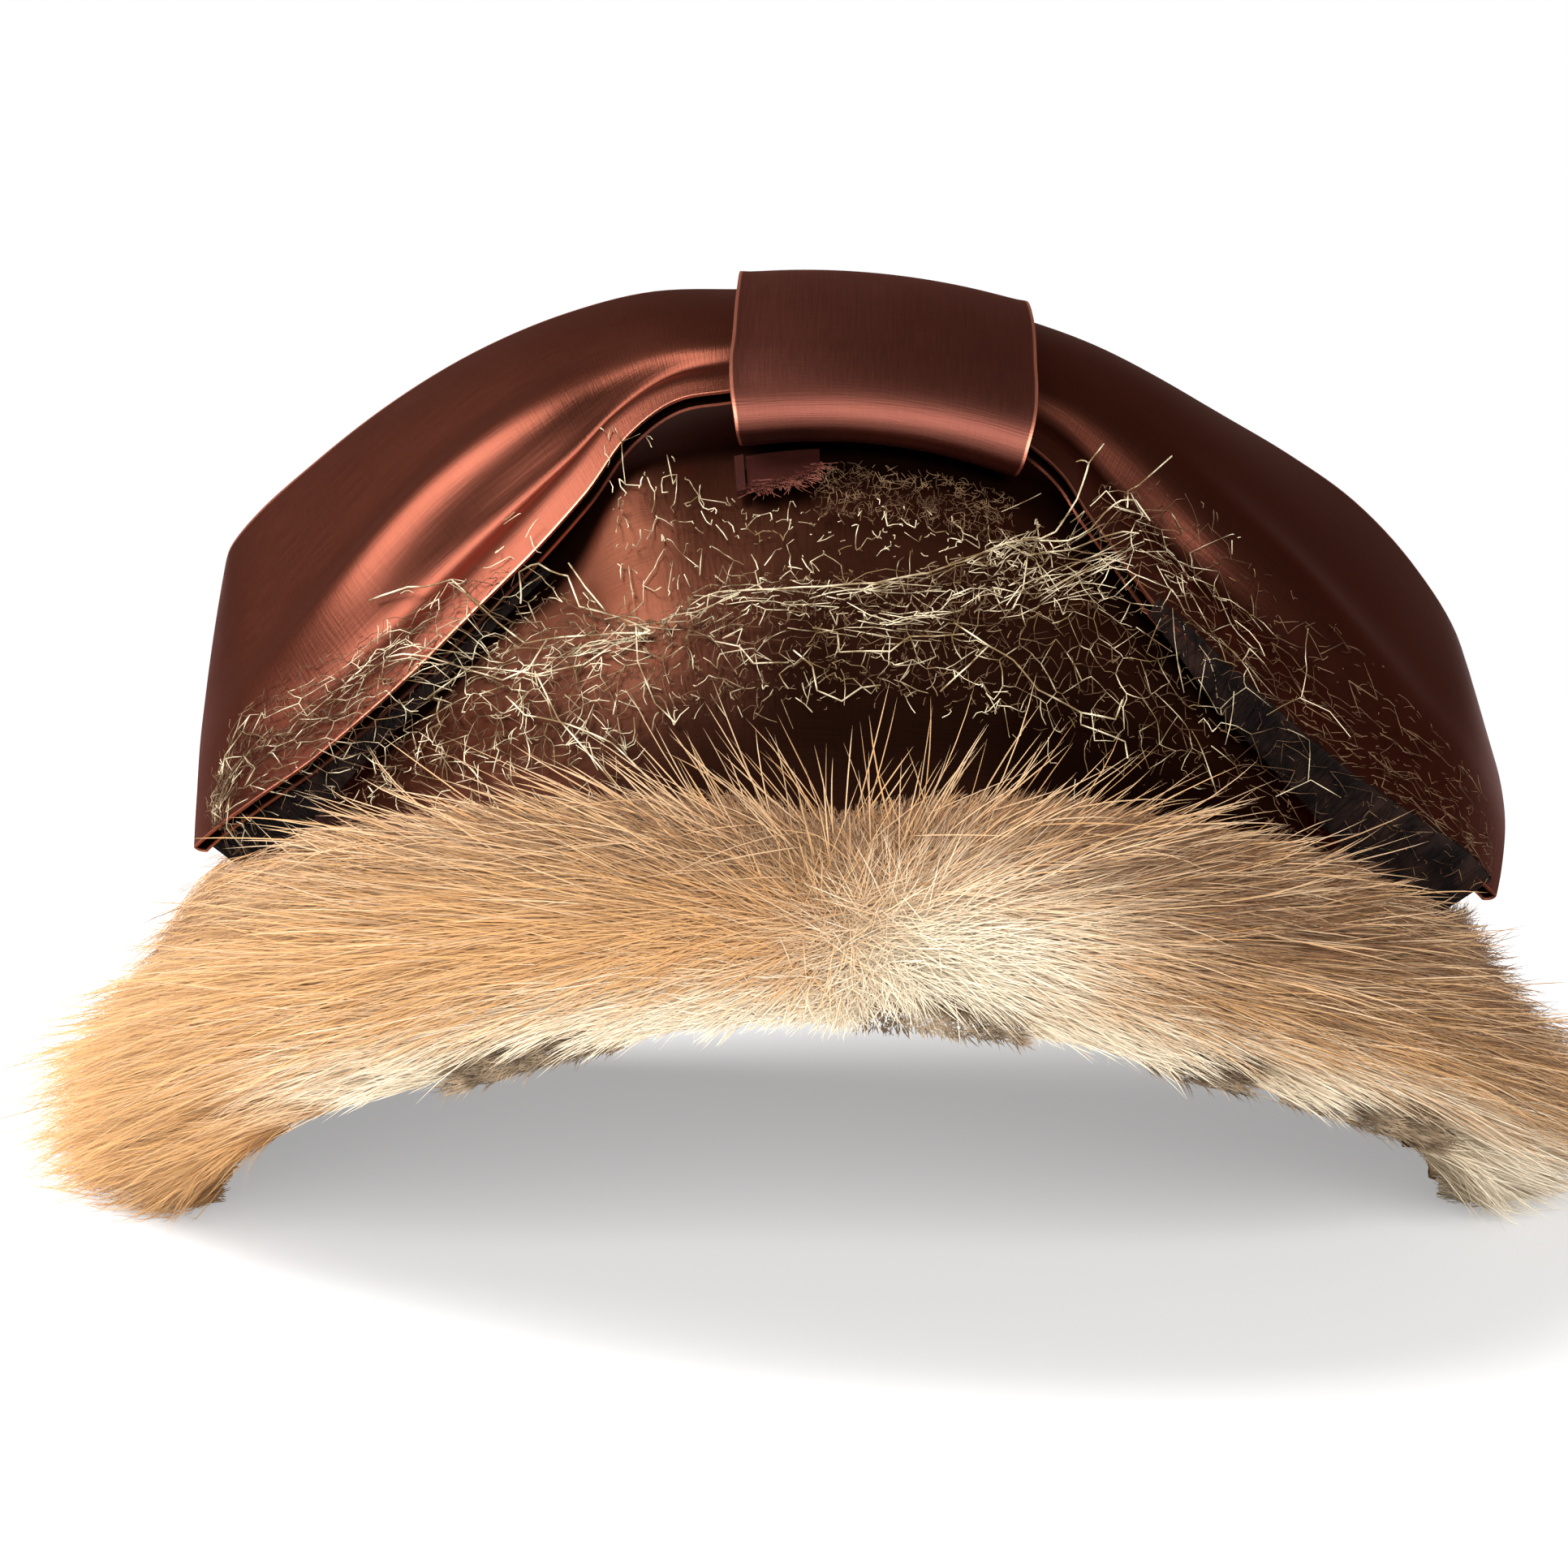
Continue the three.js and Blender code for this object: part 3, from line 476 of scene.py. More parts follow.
def comb(t, v, strays):
    """How the hair lies at a place: its flow along the band and the way out of the pelt."""
    at = np.clip(t, -0.95, 0.95)
    root = fur_place(at, v, 0.6)
    up = unit(fur_place(at, v + 0.1, 0.6) - root)
    out = unit(fur_place(at, v, 1.6) - root)
    right = unit(fur_place(at + 0.02, v, 0.6) - fur_place(at - 0.02, v, 0.6))
    # Near the middle the hair fans out from one place, further out it streams to the two ends
    aside, above = (t - FAN[0]) * HALF_LENGTH, (v - FAN[1]) * BAND_DEPTH
    above = np.where(above < 0, 0.5, 1.1) * above
    away = np.sqrt(aside**2 + above**2 + 9)
    end_turn = np.where(t < 0, -0.75 * v, -0.5 * v + 0.5 * soft_step(v, 0.55, 1))
    turn = between(above / away, end_turn, soft_step(abs(t), 0.25, 0.7)) + strays
    rim_right = soft_step(t, 0.15, 0.35) * (1 - soft_step(t, 0.45, 0.6)) * (1 - soft_step(v, 0.0, 0.25))
    turn = turn - 0.3 * rim_right
    far = np.minimum(1, abs(t) / 0.6)
    lift = between(0.12 + 0.3 * hump(aside, 0, 12), 1.0 - 0.85 * v, far**1.5)
    lift = lift * (1 - 0.6 * soft_step(v, 0.4, 0.8) * (1 - soft_step(abs(t), 0.6, 0.8)))
    return right * (aside / away)[..., None] + up * turn[..., None], out, lift, far


def hair_mesh(name, paths, wide, facing, masks):
    """Joins hairs into one mesh: each is a flat strip that narrows to a point."""
    hairs, steps = paths.shape[:2]
    side = unit(np.cross(np.gradient(paths, axis=1), facing[:, None, :]))
    taper = np.interp(np.linspace(0, 1, steps), [0, 0.3, 0.75, 1], [0.7, 1, 0.7, 0])
    half = side * (wide[:, None] * taper * 0.0005)[..., None]
    points = np.stack([paths - half, paths + half], axis=2)[:, :-1].reshape(hairs, -1, 3)
    points = np.concatenate([points, paths[:, -1:]], axis=1)
    each = points.shape[1]
    quads = np.array([[2 * k, 2 * k + 1, 2 * k + 3, 2 * k + 2] for k in range(steps - 2)]).reshape(-1)
    corners = np.concatenate([quads, [each - 3, each - 2, each - 1]])
    starts = np.concatenate([np.arange(steps - 2) * 4, [(steps - 2) * 4]])
    mesh = bpy.data.meshes.new(name)
    mesh.vertices.add(hairs * each)
    mesh.vertices.foreach_set("co", points.reshape(-1))
    mesh.loops.add(hairs * len(corners))
    mesh.loops.foreach_set("vertex_index", (np.arange(hairs)[:, None] * each + corners).reshape(-1))
    mesh.polygons.add(hairs * len(starts))
    mesh.polygons.foreach_set("loop_start", (np.arange(hairs)[:, None] * len(corners) + starts).reshape(-1))
    mesh.polygons.foreach_set("use_smooth", np.ones(hairs * len(starts), bool))
    mesh.update(calc_edges=True)
    tone = mesh.attributes.new("hair", "FLOAT_COLOR", "POINT")
    along = np.concatenate([np.repeat(np.linspace(0, 1, steps)[:-1], 2), [1]])
    colour = np.empty((hairs, each, 4))
    colour[..., 0] = along
    colour[..., 1:] = masks[:, None, :]
    tone.data.foreach_set("color", colour.reshape(-1))
    piece = bpy.data.objects.new(name, mesh)
    bpy.context.scene.collection.objects.link(piece)
    return piece


def grow(seed, count, t_span, v_span, length, lift_by, clump, spread, steps):
    """Roots, paths and lie of the hairs of one part of the coat."""
    rng = np.random.default_rng(seed)
    t = rng.uniform(*t_span, count)
    v = rng.uniform(*v_span, count)
    # Hair under the rim begins little by little towards the two ends
    v = np.where((v < 0) & (abs(t) > 0.5), v * soft_step(abs(t), 0.5, 0.75), v)
    # Hairs gather in small locks that share one direction and come together at their tips
    lock = (np.floor(t * LOCKS_ALONG) * 31 + np.floor(v * LOCKS_UP)).astype(int)
    lock_t = (np.floor(t * LOCKS_ALONG) + 0.5) / LOCKS_ALONG
    lock_v = (np.floor(v * LOCKS_UP) + 0.5) / LOCKS_UP
    vary = np.random.default_rng(5).uniform(-1, 1, (4096, 4))[lock % 4096]
    lock_t = lock_t + 0.004 * vary[:, 0]
    lock_v = lock_v + 0.03 * vary[:, 1]
    loose = rng.normal(0, spread, (count, 3))
    # Near the middle the locks lean every way, so that no star shows
    tousled = hump(lock_t, 0, 0.13)
    own = rng.normal(0, 1, (count, 2))
    comb_t = lock_t + tousled * (0.03 * vary[:, 1] + 0.035 * own[:, 0])
    comb_v = np.clip(lock_v + tousled * (0.1 * vary[:, 0] + 0.12 * own[:, 1]), 0, 1)
    strays = (0.22 + 0.15 * tousled) * vary[:, 2] + (0.6 + 2 * tousled) * loose[:, 0]
    flow, out, lift, far = comb(comb_t, comb_v, strays)
    lift = lift * lift_by * (1 + 0.35 * vary[:, 3]) + 0.5 * abs(loose[:, 1])
    heights = [0, 0.1, 0.25, 0.45, 0.65, 0.85, 1]
    inner = np.interp(v, heights, [6, 9, 15, 20, 18, 12, 7])
    outer = np.interp(v, heights, [11, 16, 20, 21, 21, 18, 13])
    reach = between(inner, outer, soft_step(abs(t), 0.45, 0.65))
    # It is short along the top of the middle, and at the two ends, which are trimmed
    near = (1 - 0.5 * tousled) * (1 - 0.45 * hump(t, 0, 0.3) * soft_step(v, 0.4, 0.8))
    # The fringe over the crown keeps one length
    if length > 1.5:
        reach, near = 9.0, 1.0
    trimmed = 1 - 0.6 * soft_step(abs(t), 0.74, 0.97)
    reach = reach * between(0.9, np.where(t < 0, 1.75, 1.5), far) * near * trimmed
    reach = reach * length * rng.uniform(0.62, 1.1, count) * 0.001
    root = fur_place(t, v, rng.uniform(0.2, 0.75, count))
    lock_root = fur_place(lock_t, lock_v, 0.5)
    s = np.linspace(0, 1, steps)[None, :, None]
    leave = unit(flow + out * (lift + 0.25)[:, None])
    arrive = unit(flow + out * (lift * 0.75 - 0.05)[:, None])
    run = reach[:, None, None] * (s * leave[:, None] + s**2 * (arrive - leave)[:, None] / 2)
    paths = root[:, None] + run
    # The tips follow the crown's curve and come together in their lock
    paths -= out[:, None] * (reach**2 / (2 * CROWN_ROUND) * (1 - 0.8 * far))[:, None, None] * s**2
    paths -= (root - lock_root)[:, None] * (clump * (1 - 0.9 * tousled))[:, None, None] * s**1.5
    paths += (rng.normal(0, 1, (count, 1, 3)) * s**2 * reach[:, None, None]) * spread * 0.35
    floor_rest = 0.0002 + 0.0006 * rng.random((count, 1))
    paths[..., 2] = np.maximum(paths[..., 2], floor_rest)
    return t, v, paths, unit(out + rng.normal(0, 0.25, (count, 3))), rng


def coat_masks(t, v, rng, under):
    """Brown tips, pale hair and chance shade of each hair, by its place in the coat or under it."""
    count = len(t)
    edge = 1 - soft_step(v + rng.normal(0, 0.05, count), 0.06, 0.3)
    edge = edge * np.where(t < 0, 1 - soft_step(-t, 0.36, 0.5), 1)
    middle = 1.4 * hump(t, 0.075, 0.08) * hump(v, 0.22, 0.28)
    tip = 0.35 * soft_step(-t, 0.7, 0.9) * (1 - soft_step(v, 0.4, 0.7))
    cream = np.clip(np.maximum(np.maximum(edge, middle), tip) + rng.normal(0, 0.1, count), 0, 1)
    right = soft_step(t, 0.06, 0.24)
    brown = between(0.12, 0.6, soft_step(v, 0.35, 0.85))
    brown = brown + right * between(0.25, 1.1, soft_step(v, 0.2, 0.6))
    high = soft_step(v, 0.55, 0.85)
    brown = brown + 0.6 * hump(t, -0.02, 0.16) * soft_step(v, 0.35, 0.7)
    # Near the top the underfur is made dark brown as painted shade between the sparse strands there
    brown = brown + under * (0.35 * right * soft_step(v, 0.25, 0.6) + 0.7 * high)
    brown = np.clip(brown + rng.normal(0, 0.2 + 0.15 * right + 0.2 * high, count), 0, 1)
    brown = brown * (1 - 0.85 * cream)
    return np.stack([brown, cream, rng.random(count)], axis=1)


def colour_ramp(tree, value, stops):
    """Colours along a value, from stops that each have a place and a colour."""
    ramp = add_node(tree, "ValToRGB", {"Fac": value})
    while len(ramp.color_ramp.elements) < len(stops):
        ramp.color_ramp.elements.new(0.5)
    for element, (place, colour) in zip(ramp.color_ramp.elements, stops):
        element.position = place
        element.color = (*colour, 1)
    return ramp.outputs["Color"]


# Colours of a hair from its root at 0 to its tip at 1
TAN = [
    (0, (0.38, 0.2, 0.085)),
    (0.3, (0.54, 0.28, 0.105)),
    (0.8, (0.6, 0.33, 0.13)),
    (1, (0.68, 0.42, 0.2)),
]
BROWN = [
    (0, (0.28, 0.155, 0.075)),
    (0.4, (0.26, 0.135, 0.062)),
    (0.75, (0.14, 0.065, 0.03)),
    (1, (0.1, 0.045, 0.02)),
]
CREAM = [(0, (0.62, 0.51, 0.35)), (0.5, (0.7, 0.6, 0.44)), (1, (0.76, 0.68, 0.53))]


def fur_colour():
    """Fur: tan with darker tips, or cream, by the masks that each hair carries."""
    material, tree, shader = new_material("fur_hair")
    carried = add_node(tree, "Attribute", attribute_name="hair").outputs
    parts = add_node(tree, "SeparateColor", {"Color": carried["Color"]}).outputs
    tan, brown, cream = (colour_ramp(tree, parts["Red"], stops) for stops in (TAN, BROWN, CREAM))
    coat = mixed(tree, parts["Green"], tan, brown)
    coat = mixed(tree, parts["Blue"], coat, cream)
    chance = add_node(tree, "MapRange", {"Value": carried["Alpha"], "To Min": 0.78, "To Max": 1.12})
    coat = mixed(tree, 1, coat, chance.outputs["Result"], "MULTIPLY")
    feed(tree, shader, {"Base Color": coat, "Roughness": 0.55, "Specular IOR Level": 0.12})
    return material


def thread_colour(name, dull, bright, rough):
    """Hair or thread that varies between two colours from place to place along it."""
    material, tree, shader = new_material(name)
    place = add_node(tree, "TexCoord").outputs["Object"]
    patches = add_node(tree, "TexNoise", {"Vector": place, "Scale": 260, "Detail": 3}).outputs["Fac"]
    tone = colour_ramp(tree, patches, [(0.42, dull), (0.64, bright)])
    feed(tree, shader, {"Base Color": tone, "Roughness": rough, "Specular IOR Level": 0.1})
    return material


FUR_COLOUR = fur_colour()
CLIPPED_COLOUR = thread_colour("clipped_hair", (0.13, 0.09, 0.055), (0.42, 0.31, 0.2), 0.8)
# name, seed, hairs, t from, t to, v from, v to, length, lift, clump, spread, width in mm, points
COATS = [
    ("fur_left_end", 11, 16000, -0.95, -0.5, 0.0, 0.98, 1.0, 1.0, 0.5, 0.12, 0.13, 5),
    ("fur_left", 12, 16000, -0.52, 0.03, 0.0, 0.92, 1.0, 1.0, 0.5, 0.12, 0.11, 5),
    ("fur_right", 13, 16000, 0.03, 0.52, 0.0, 0.92, 1.0, 1.0, 0.5, 0.12, 0.11, 5),
    ("fur_right_end", 14, 16000, 0.5, 0.92, 0.0, 0.98, 1.0, 1.0, 0.5, 0.12, 0.13, 5),
    ("underfur_left", 15, 18000, -0.93, 0.05, 0.0, 1.0, 0.42, 1.4, 0.15, 0.3, 0.1, 4),
    ("underfur_right", 16, 18000, 0.0, 0.91, 0.0, 1.0, 0.42, 1.4, 0.15, 0.3, 0.1, 4),
    ("underfur_middle", 22, 11000, -0.18, 0.28, 0.0, 0.98, 0.4, 1.3, 0.0, 0.4, 0.08, 4),
    ("fur_rim_left", 23, 3400, -0.87, -0.5, -0.09, 0.06, 0.8, 0.6, 0.1, 0.4, 0.13, 4),
    ("fur_rim_right", 24, 3400, 0.5, 0.84, -0.09, 0.06, 0.8, 0.6, 0.1, 0.4, 0.13, 4),
    ("fur_strands_left", 25, 450, -0.8, -0.1, 0.3, 0.95, 1.2, 1.5, 0.9, 0.1, 0.15, 5),
    ("fur_strands_right", 26, 800, 0.14, 0.85, 0.3, 0.95, 1.2, 1.5, 0.9, 0.1, 0.15, 5),
    ("fur_strands_fringe", 17, 560, -0.42, 0.5, 0.62, 0.97, 1.7, 2.2, 0.85, 0.2, 0.14, 5),
    ("clipped_left", 18, 1700, -0.34, -0.2, -0.04, 0.11, 0.36, 1.2, 0.1, 0.5, 0.14, 4),
    ("clipped_middle", 19, 2000, 0.01, 0.18, -0.04, 0.15, 0.36, 1.2, 0.1, 0.5, 0.14, 4),
    ("clipped_right", 20, 3600, 0.26, 0.56, -0.04, 0.18, 0.36, 1.2, 0.1, 0.5, 0.14, 4),
]
# Along the rim the hair is clipped short in a few places: t from, t to, v up to
CLIPPED = [(-0.34, -0.2, 0.1), (0.02, 0.17, 0.14), (0.27, 0.36, 0.15), (0.39, 0.55, 0.17)]
for name, seed, count, t0, t1, v0, v1, length, lift, clump, spread, wide, steps in COATS:
    t, v, paths, facing, rng = grow(seed, count, (t0, t1), (v0, v1), length, lift, clump, spread, steps)
    short = np.zeros(count, bool)
    for from_t, to_t, to_v in CLIPPED:
        rounded = 1 - ((2 * t - from_t - to_t) / (to_t - from_t)) ** 4
        short |= v < to_v * rounded - 0.02 * rng.random(count)
    keep = short if name.startswith("clipped") else ~short
    masks = coat_masks(t, v, rng, name.startswith("underfur"))
    if name.startswith("fur_strands"):
        masks[:, :2] = rng.uniform(0, 0.3, (count, 2)) + [0.25, 0.05]
    wide = wide * rng.uniform(0.6, 1.25, count)
    piece = hair_mesh(name, paths[keep], wide[keep], facing[keep], masks[keep])
    piece.data.materials.append(CLIPPED_COLOUR if name.startswith("clipped") else FUR_COLOUR)
    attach(piece, "root")

# The pelt carries the hair: a soft band with dense woolly underfur outside and skin inside
pelt_t = np.linspace(-0.93, 0.9, 181)[:, None]
pelt_v = np.linspace(0.04, 0.97, 25)[None, :]
pelt_swell = 0.1 + 0.28 * np.sin(np.pi * pelt_v) * np.sqrt(np.clip(1 - pelt_t**8, 0, 1))
pelt = lay_cloth("fur_pelt", fur_place(pelt_t, pelt_v + 0 * pelt_t, pelt_swell), 1.0)
wool, tree, shader = new_material("pelt_wool")
wool_place = add_node(tree, "TexCoord").outputs["Object"]
tufts = add_node(tree, "TexNoise", {"Vector": wool_place, "Scale": 420, "Detail": 4}).outputs["Fac"]
wool_tone = colour_ramp(tree, tufts, [(0.3, (0.36, 0.21, 0.1)), (0.75, (0.66, 0.44, 0.24))])
wool_bump = add_node(tree, "Bump", {"Strength": 0.7, "Distance": 0.0006, "Height": tufts}).outputs["Normal"]
# Towards its upper edge the wool is painted dark brown as shade between the sparse strands there
wool_painted_shade = add_node(tree, "MapRange", {"Value": map_sides(tree)["X"], "From Min": 0.62, "From Max": 0.86})
wool_coat = mixed(tree, wool_painted_shade.outputs["Result"], wool_tone, (0.085, 0.04, 0.018, 1))
feed(tree, shader, {"Base Color": wool_coat, "Roughness": 0.9, "Normal": wool_bump})
pelt.data.materials.append(wool)
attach(pelt, "root")
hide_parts("fur_band")


# Ribbon end
# Under the knot's left side a short raw end of the ribbon shows. It was cut, not hemmed, so its
# weft has come away and the loose warp threads stand out as a small reddish fringe.
END_TABLE = [(-8.2, -25.0), (-6.8, -25.6), (-5.3, -24.7), (-3.9, -25.4), (-2.4, -24.2), (-1.4, -23.2)]


def thread_mesh(name, paths, thick, sides=3):
    """Joins fine round threads into one mesh, each closed at both ends."""
    count, steps = paths.shape[:2]
    run = unit(np.gradient(paths, axis=1))
    lean = np.where(abs(run[:, :1, 2:]) > 0.8, [1.0, 0, 0], [0, 0, 1.0])
    side = unit(np.cross(run, lean))
    top = np.cross(side, run)
    turn = np.arange(sides) * 2 * math.pi / sides
    ring = np.cos(turn)[:, None] * side[:, :, None] + np.sin(turn)[:, None] * top[:, :, None]
    half = np.broadcast_to(thick, count)[:, None, None, None] * 0.0005
    points = (paths[:, :, None] + ring * half).reshape(-1, 3)
    one = []
    for k in range(steps - 1):
        for m in range(sides):
            a, b = k * sides + m, k * sides + (m + 1) % sides
            one.append((a, b, b + sides, a + sides))
    first = tuple(range(sides))[::-1]
    last = tuple(range((steps - 1) * sides, steps * sides))
    each = steps * sides
    faces = [tuple(n * each + v for v in face) for n in range(count) for face in one + [first, last]]
    mesh = bpy.data.meshes.new(name)
    mesh.from_pydata(points.tolist(), [], faces)
    mesh.polygons.foreach_set("use_smooth", np.ones(len(mesh.polygons), bool))
    piece = bpy.data.objects.new(name, mesh)
    bpy.context.scene.collection.objects.link(piece)
    return piece


end_across, end_along = section(END_TABLE, np.linspace(0, 1, 37))
end_down = np.linspace(0, 1, 25)[:, None]
ribbon_end = lay_cloth(
    "ribbon_end",
    on_crown(end_across + 0 * end_down, between(-20.2, end_along, end_down), 0.85 + 0.35 * end_down**2),
    0.5,
)
rng = np.random.default_rng(21)
fringe_across = rng.uniform(-8.1, -1.2, 260)
fringe_s = np.linspace(0, 1, 5)[None, :]
fringe_start = np.interp(fringe_across, [a for a, _ in END_TABLE], [b for _, b in END_TABLE])[:, None]
end_fringe = thread_mesh(
    "ribbon_end_fringe",
    on_crown(
        fringe_across[:, None] + rng.normal(0, 0.9, (260, 1)) * fringe_s**2,
        fringe_start + 0.9 - rng.uniform(0.7, 2.3, (260, 1)) * fringe_s,
        1.2 + rng.uniform(-0.2, 1.1, (260, 1)) * fringe_s**2,
    ),
    0.09,
)
# The strap of the knot goes on down its left side and is caught to the crown with a stitch
strap_down = np.linspace(-20.5, -25.6, 15)[:, None]
strap_wide = np.linspace(-9.2, -8.35, 7)[None, :]
strap_off = 1.3 + 0.05 * (strap_wide + 9)
knot_strap = lay_cloth("knot_strap", on_crown(strap_wide + 0 * strap_down, strap_down, strap_off), 0.7)
# The raw end and the strap take a satin far darker than the ribbon's: painted shade under the knot
SHADED_END_SATIN = satin("raw_end_shaded_satin", (0.014, 0.004, 0.003), (0.036, 0.009, 0.007), (0.012, 0.008), 0.0, 0.05)
FRINGE_THREAD = thread_colour("raw_end_thread", (0.07, 0.017, 0.012), (0.22, 0.075, 0.05), 0.6)
for piece in (ribbon_end, knot_strap, end_fringe):
    piece.data.materials.append(FRINGE_THREAD if piece is end_fringe else SHADED_END_SATIN)
    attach(piece, "root")
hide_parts("bow_tail")


# Net gathers
# Fine black net is drawn up into a tight ruche along the front edge of each loop. The drawing
# thread packs its meshes into short crossed bars, wider on the right side than on the left.
# across, along, width in degrees, height of the front and of the back side in mm: it is caught to
# the crown in front and to the edge of the ribbon behind, which rises towards the end of the bow
LEFT_GATHER = [
    (-28, -25.4, 0.4, 0.8, 1.4),
    (-36, -27.0, 0.8, 0.8, 1.6),
    (-43, -27.2, 1.0, 0.8, 1.7),
    (-50, -25.5, 1.4, 0.9, 2.4),
    (-56, -22.6, 2.3, 0.9, 3.8),
    (-61, -19.0, 3.4, 1.0, 5.6),
    (-65, -15.6, 4.4, 1.2, 7.4),
    (-67.6, -13.4, 4.8, 1.6, 8.6),
]
RIGHT_GATHER = [
    (31, -29.6, 0.8, 2.6, 4.3),
    (39, -30.9, 1.8, 1.4, 4.5),
    (45, -30.4, 2.4, 1.1, 4.6),
    (51, -29.1, 3.1, 1.2, 5.2),
    (57, -27.0, 4.0, 1.6, 6.9),
    (63, -23.4, 5.0, 2.0, 9.6),
    (67, -20.3, 5.6, 2.4, 11.7),
    (69.6, -18.0, 5.6, 2.8, 12.4),
]


def gather(name, table, bars, puff, seed):
    """A pleated strip of black net and the crossed threads that stand proud of it."""
    place = np.linspace(0, 1, bars * 2 + 1)[:, None]
    across, along, wide, low, high = (column[:, None] for column in section(table, place[:, 0]))
    spread = np.linspace(-0.5, 0.5, 7)[None, :]
    fold = (np.arange(bars * 2 + 1) % 2)[:, None] * puff * np.cos(math.pi * spread)
    strip = on_crown(across + 0 * spread, along + spread * wide, between(low, high, spread + 0.5) + fold)
    band = lay_cloth(name + "_band", strip, 0.25)
    rng = np.random.default_rng(seed)
    count = bars * 5
    start = rng.uniform(0, 1, count)
    step = rng.normal(0, 0.022, count)
    s = np.linspace(0, 1, 7)[None, :]
    places = np.clip(start[:, None] + step[:, None] * (s - 0.5), 0, 1)
    across, along, wide, low, high = section(table, places)
    along = along + (2 * s - 1) * rng.uniform(0.5, 0.62, (count, 1)) * wide
    rise = between(low, high, s) + 0.1 + (puff + rng.uniform(0, 0.5, (count, 1))) * np.sin(math.pi * s)
    threads = thread_mesh(name + "_threads", on_crown(across, along, rise), 0.15)
    return band, threads


NET_THREAD = thread_colour("black_net", (0.004, 0.002, 0.0015), (0.016, 0.007, 0.005), 0.85)
GATHERS = [
    ("left", LEFT_GATHER, 60, 0.25, 31, (0.01, 0.045), 0.00028),
    ("right", RIGHT_GATHER, 72, 0.4, 32, (0.012, 0.055), 0.00055),
]
for side, table, bars, puff, seed, flat, area in GATHERS:
    band, threads = gather("net_" + side, table, bars, puff, seed)
    for piece in (band, threads):
        piece.data.materials.append(NET_THREAD)
        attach(piece, "root")
    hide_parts("net_gather_" + side)


# Veil
# Coarse cream net with six sided meshes, old and torn, drawn together to a rope across the front
# of the crown and caught on the ribbon. Its loose ends and broken meshes stand a little off.
# The flat net's length and depth in metres, and how far down it the drawn rope runs
VEIL_LENGTH = 0.205
VEIL_DEPTH = 0.046
ROPE_PLACE = 0.45
# across and along of the upper edge, of the drawn rope and of the lower edge, and share torn away
VEIL_ROWS = [
    (-64, -13.0, -65.3, -14.5, -67, -17, 0.25),
    (-58, -9.5, -59, -14.5, -61, -20, 0.15),
    (-48, -17, -50, -23, -52, -31, 0.05),
    (-38, -21.5, -39, -28.5, -42, -40, 0.02),
    (-29, -25.5, -29.5, -34, -32, -45, 0.12),
    (-20.5, -36.0, -20.5, -37.8, -22, -46, 0.5),
    (-12, -34.0, -12, -38.6, -13, -46.5, 0.45),
    (-3, -34.5, -3, -39.0, -3, -46.5, 0.42),
    (6, -34.5, 6, -38.8, 6.5, -46, 0.38),
    (13.5, -31.5, 14, -37.0, 15.5, -45.5, 0.25),
    (21, -24.5, 22, -31.5, 25, -45, 0.12),
    (29, -17.5, 31, -29.0, 35, -43.5, 0.15),
    (40, -18.5, 42, -28.5, 45, -40, 0.3),
    (54, -13.5, 55.5, -22.5, 58, -31, 0.6),
    (67, -8.5, 69, -13.5, 71, -19, 0.6),
]
# Above the rope the net has worn away to scraps, single meshes and three armed knots
SCRAP_ROWS = [
    (-21, -18, -21, -28, -22, -36, 0.72),
    (-16, -17, -16, -26, -16, -37, 0.6),
    (-9, -26.5, -9, -30, -9, -38, 0.62),
    (0, -27, 0, -31, 0, -38, 0.7),
    (8, -27.5, 8, -31, 8, -38, 0.74),
    (16, -27.5, 16, -31, 16, -35, 0.66),
    (20, -24, 20.5, -28, 22, -31, 0.5),
]


def tree_of(piece):
    corners = [v.co.copy() for v in piece.data.vertices]
    return BVHTree.FromPolygons(corners, [tuple(p.vertices) for p in piece.data.polygons])


# Heights of what carries the veil, then drawn taut over the steps between crown and ribbon
CARRIERS = ("crown_cover", "ribbon_loop_left", "ribbon_loop_right", "net_left_band", "net_right_band")
carriers = [tree_of(bpy.data.objects[name]) for name in CARRIERS]
ACROSS_STEP = 1.25
HIGH_OVER = 60
drape_across = np.arange(-74, 78.1, ACROSS_STEP)
drape_along = np.arange(-52, -3.9, 1.0)
drape = np.zeros((len(drape_across), len(drape_along)))
for i, across in enumerate(drape_across):
    for j, along in enumerate(drape_along):
        high, low = Vector(on_crown(across, along, HIGH_OVER)), Vector(on_crown(across, along, 0))
        down = (low - high).normalized()
        hits = [tree.ray_cast(high, down)[3] for tree in carriers]
        near = [hit for hit in hits if hit is not None]
        if near:
            drape[i, j] = max(0, HIGH_OVER * (1 - min(near) / (low - high).length))
taut = drape.copy()
for _ in range(5):
    padded = np.pad(taut, 1, mode="edge")
    mean = (padded[:-2, 1:-1] + padded[2:, 1:-1] + padded[1:-1, :-2] + padded[1:-1, 2:]) / 4
    taut = np.maximum(drape, 0.5 * taut + 0.5 * mean)


def height_over(across, along):
    x = np.clip((across - drape_across[0]) / ACROSS_STEP, 0, len(drape_across) - 1.001)
    y = np.clip(along - drape_along[0], 0, len(drape_along) - 1.001)
    i, j = x.astype(int), y.astype(int)
    u, w = x - i, y - j
    edge = between(taut[i, j], taut[i + 1, j], u)
    return between(edge, between(taut[i, j + 1], taut[i + 1, j + 1], u), w)


def on_veil(rows, p, q, hover):
    """A place of the flat net, p along it and q down it from 0 to 1, where it lies on the hat."""
    up_x, up_y, rope_x, rope_y, low_x, low_y, _ = section(rows, p)
    above = np.clip((ROPE_PLACE - q) / ROPE_PLACE, 0, 1) ** 1.25
    below = np.clip((q - ROPE_PLACE) / (1 - ROPE_PLACE), 0, 1) ** 1.2
    across = rope_x + (up_x - rope_x) * above + (low_x - rope_x) * below
    along = rope_y + (up_y - rope_y) * above + (low_y - rope_y) * below
    return across, along, height_over(across, along) + hover


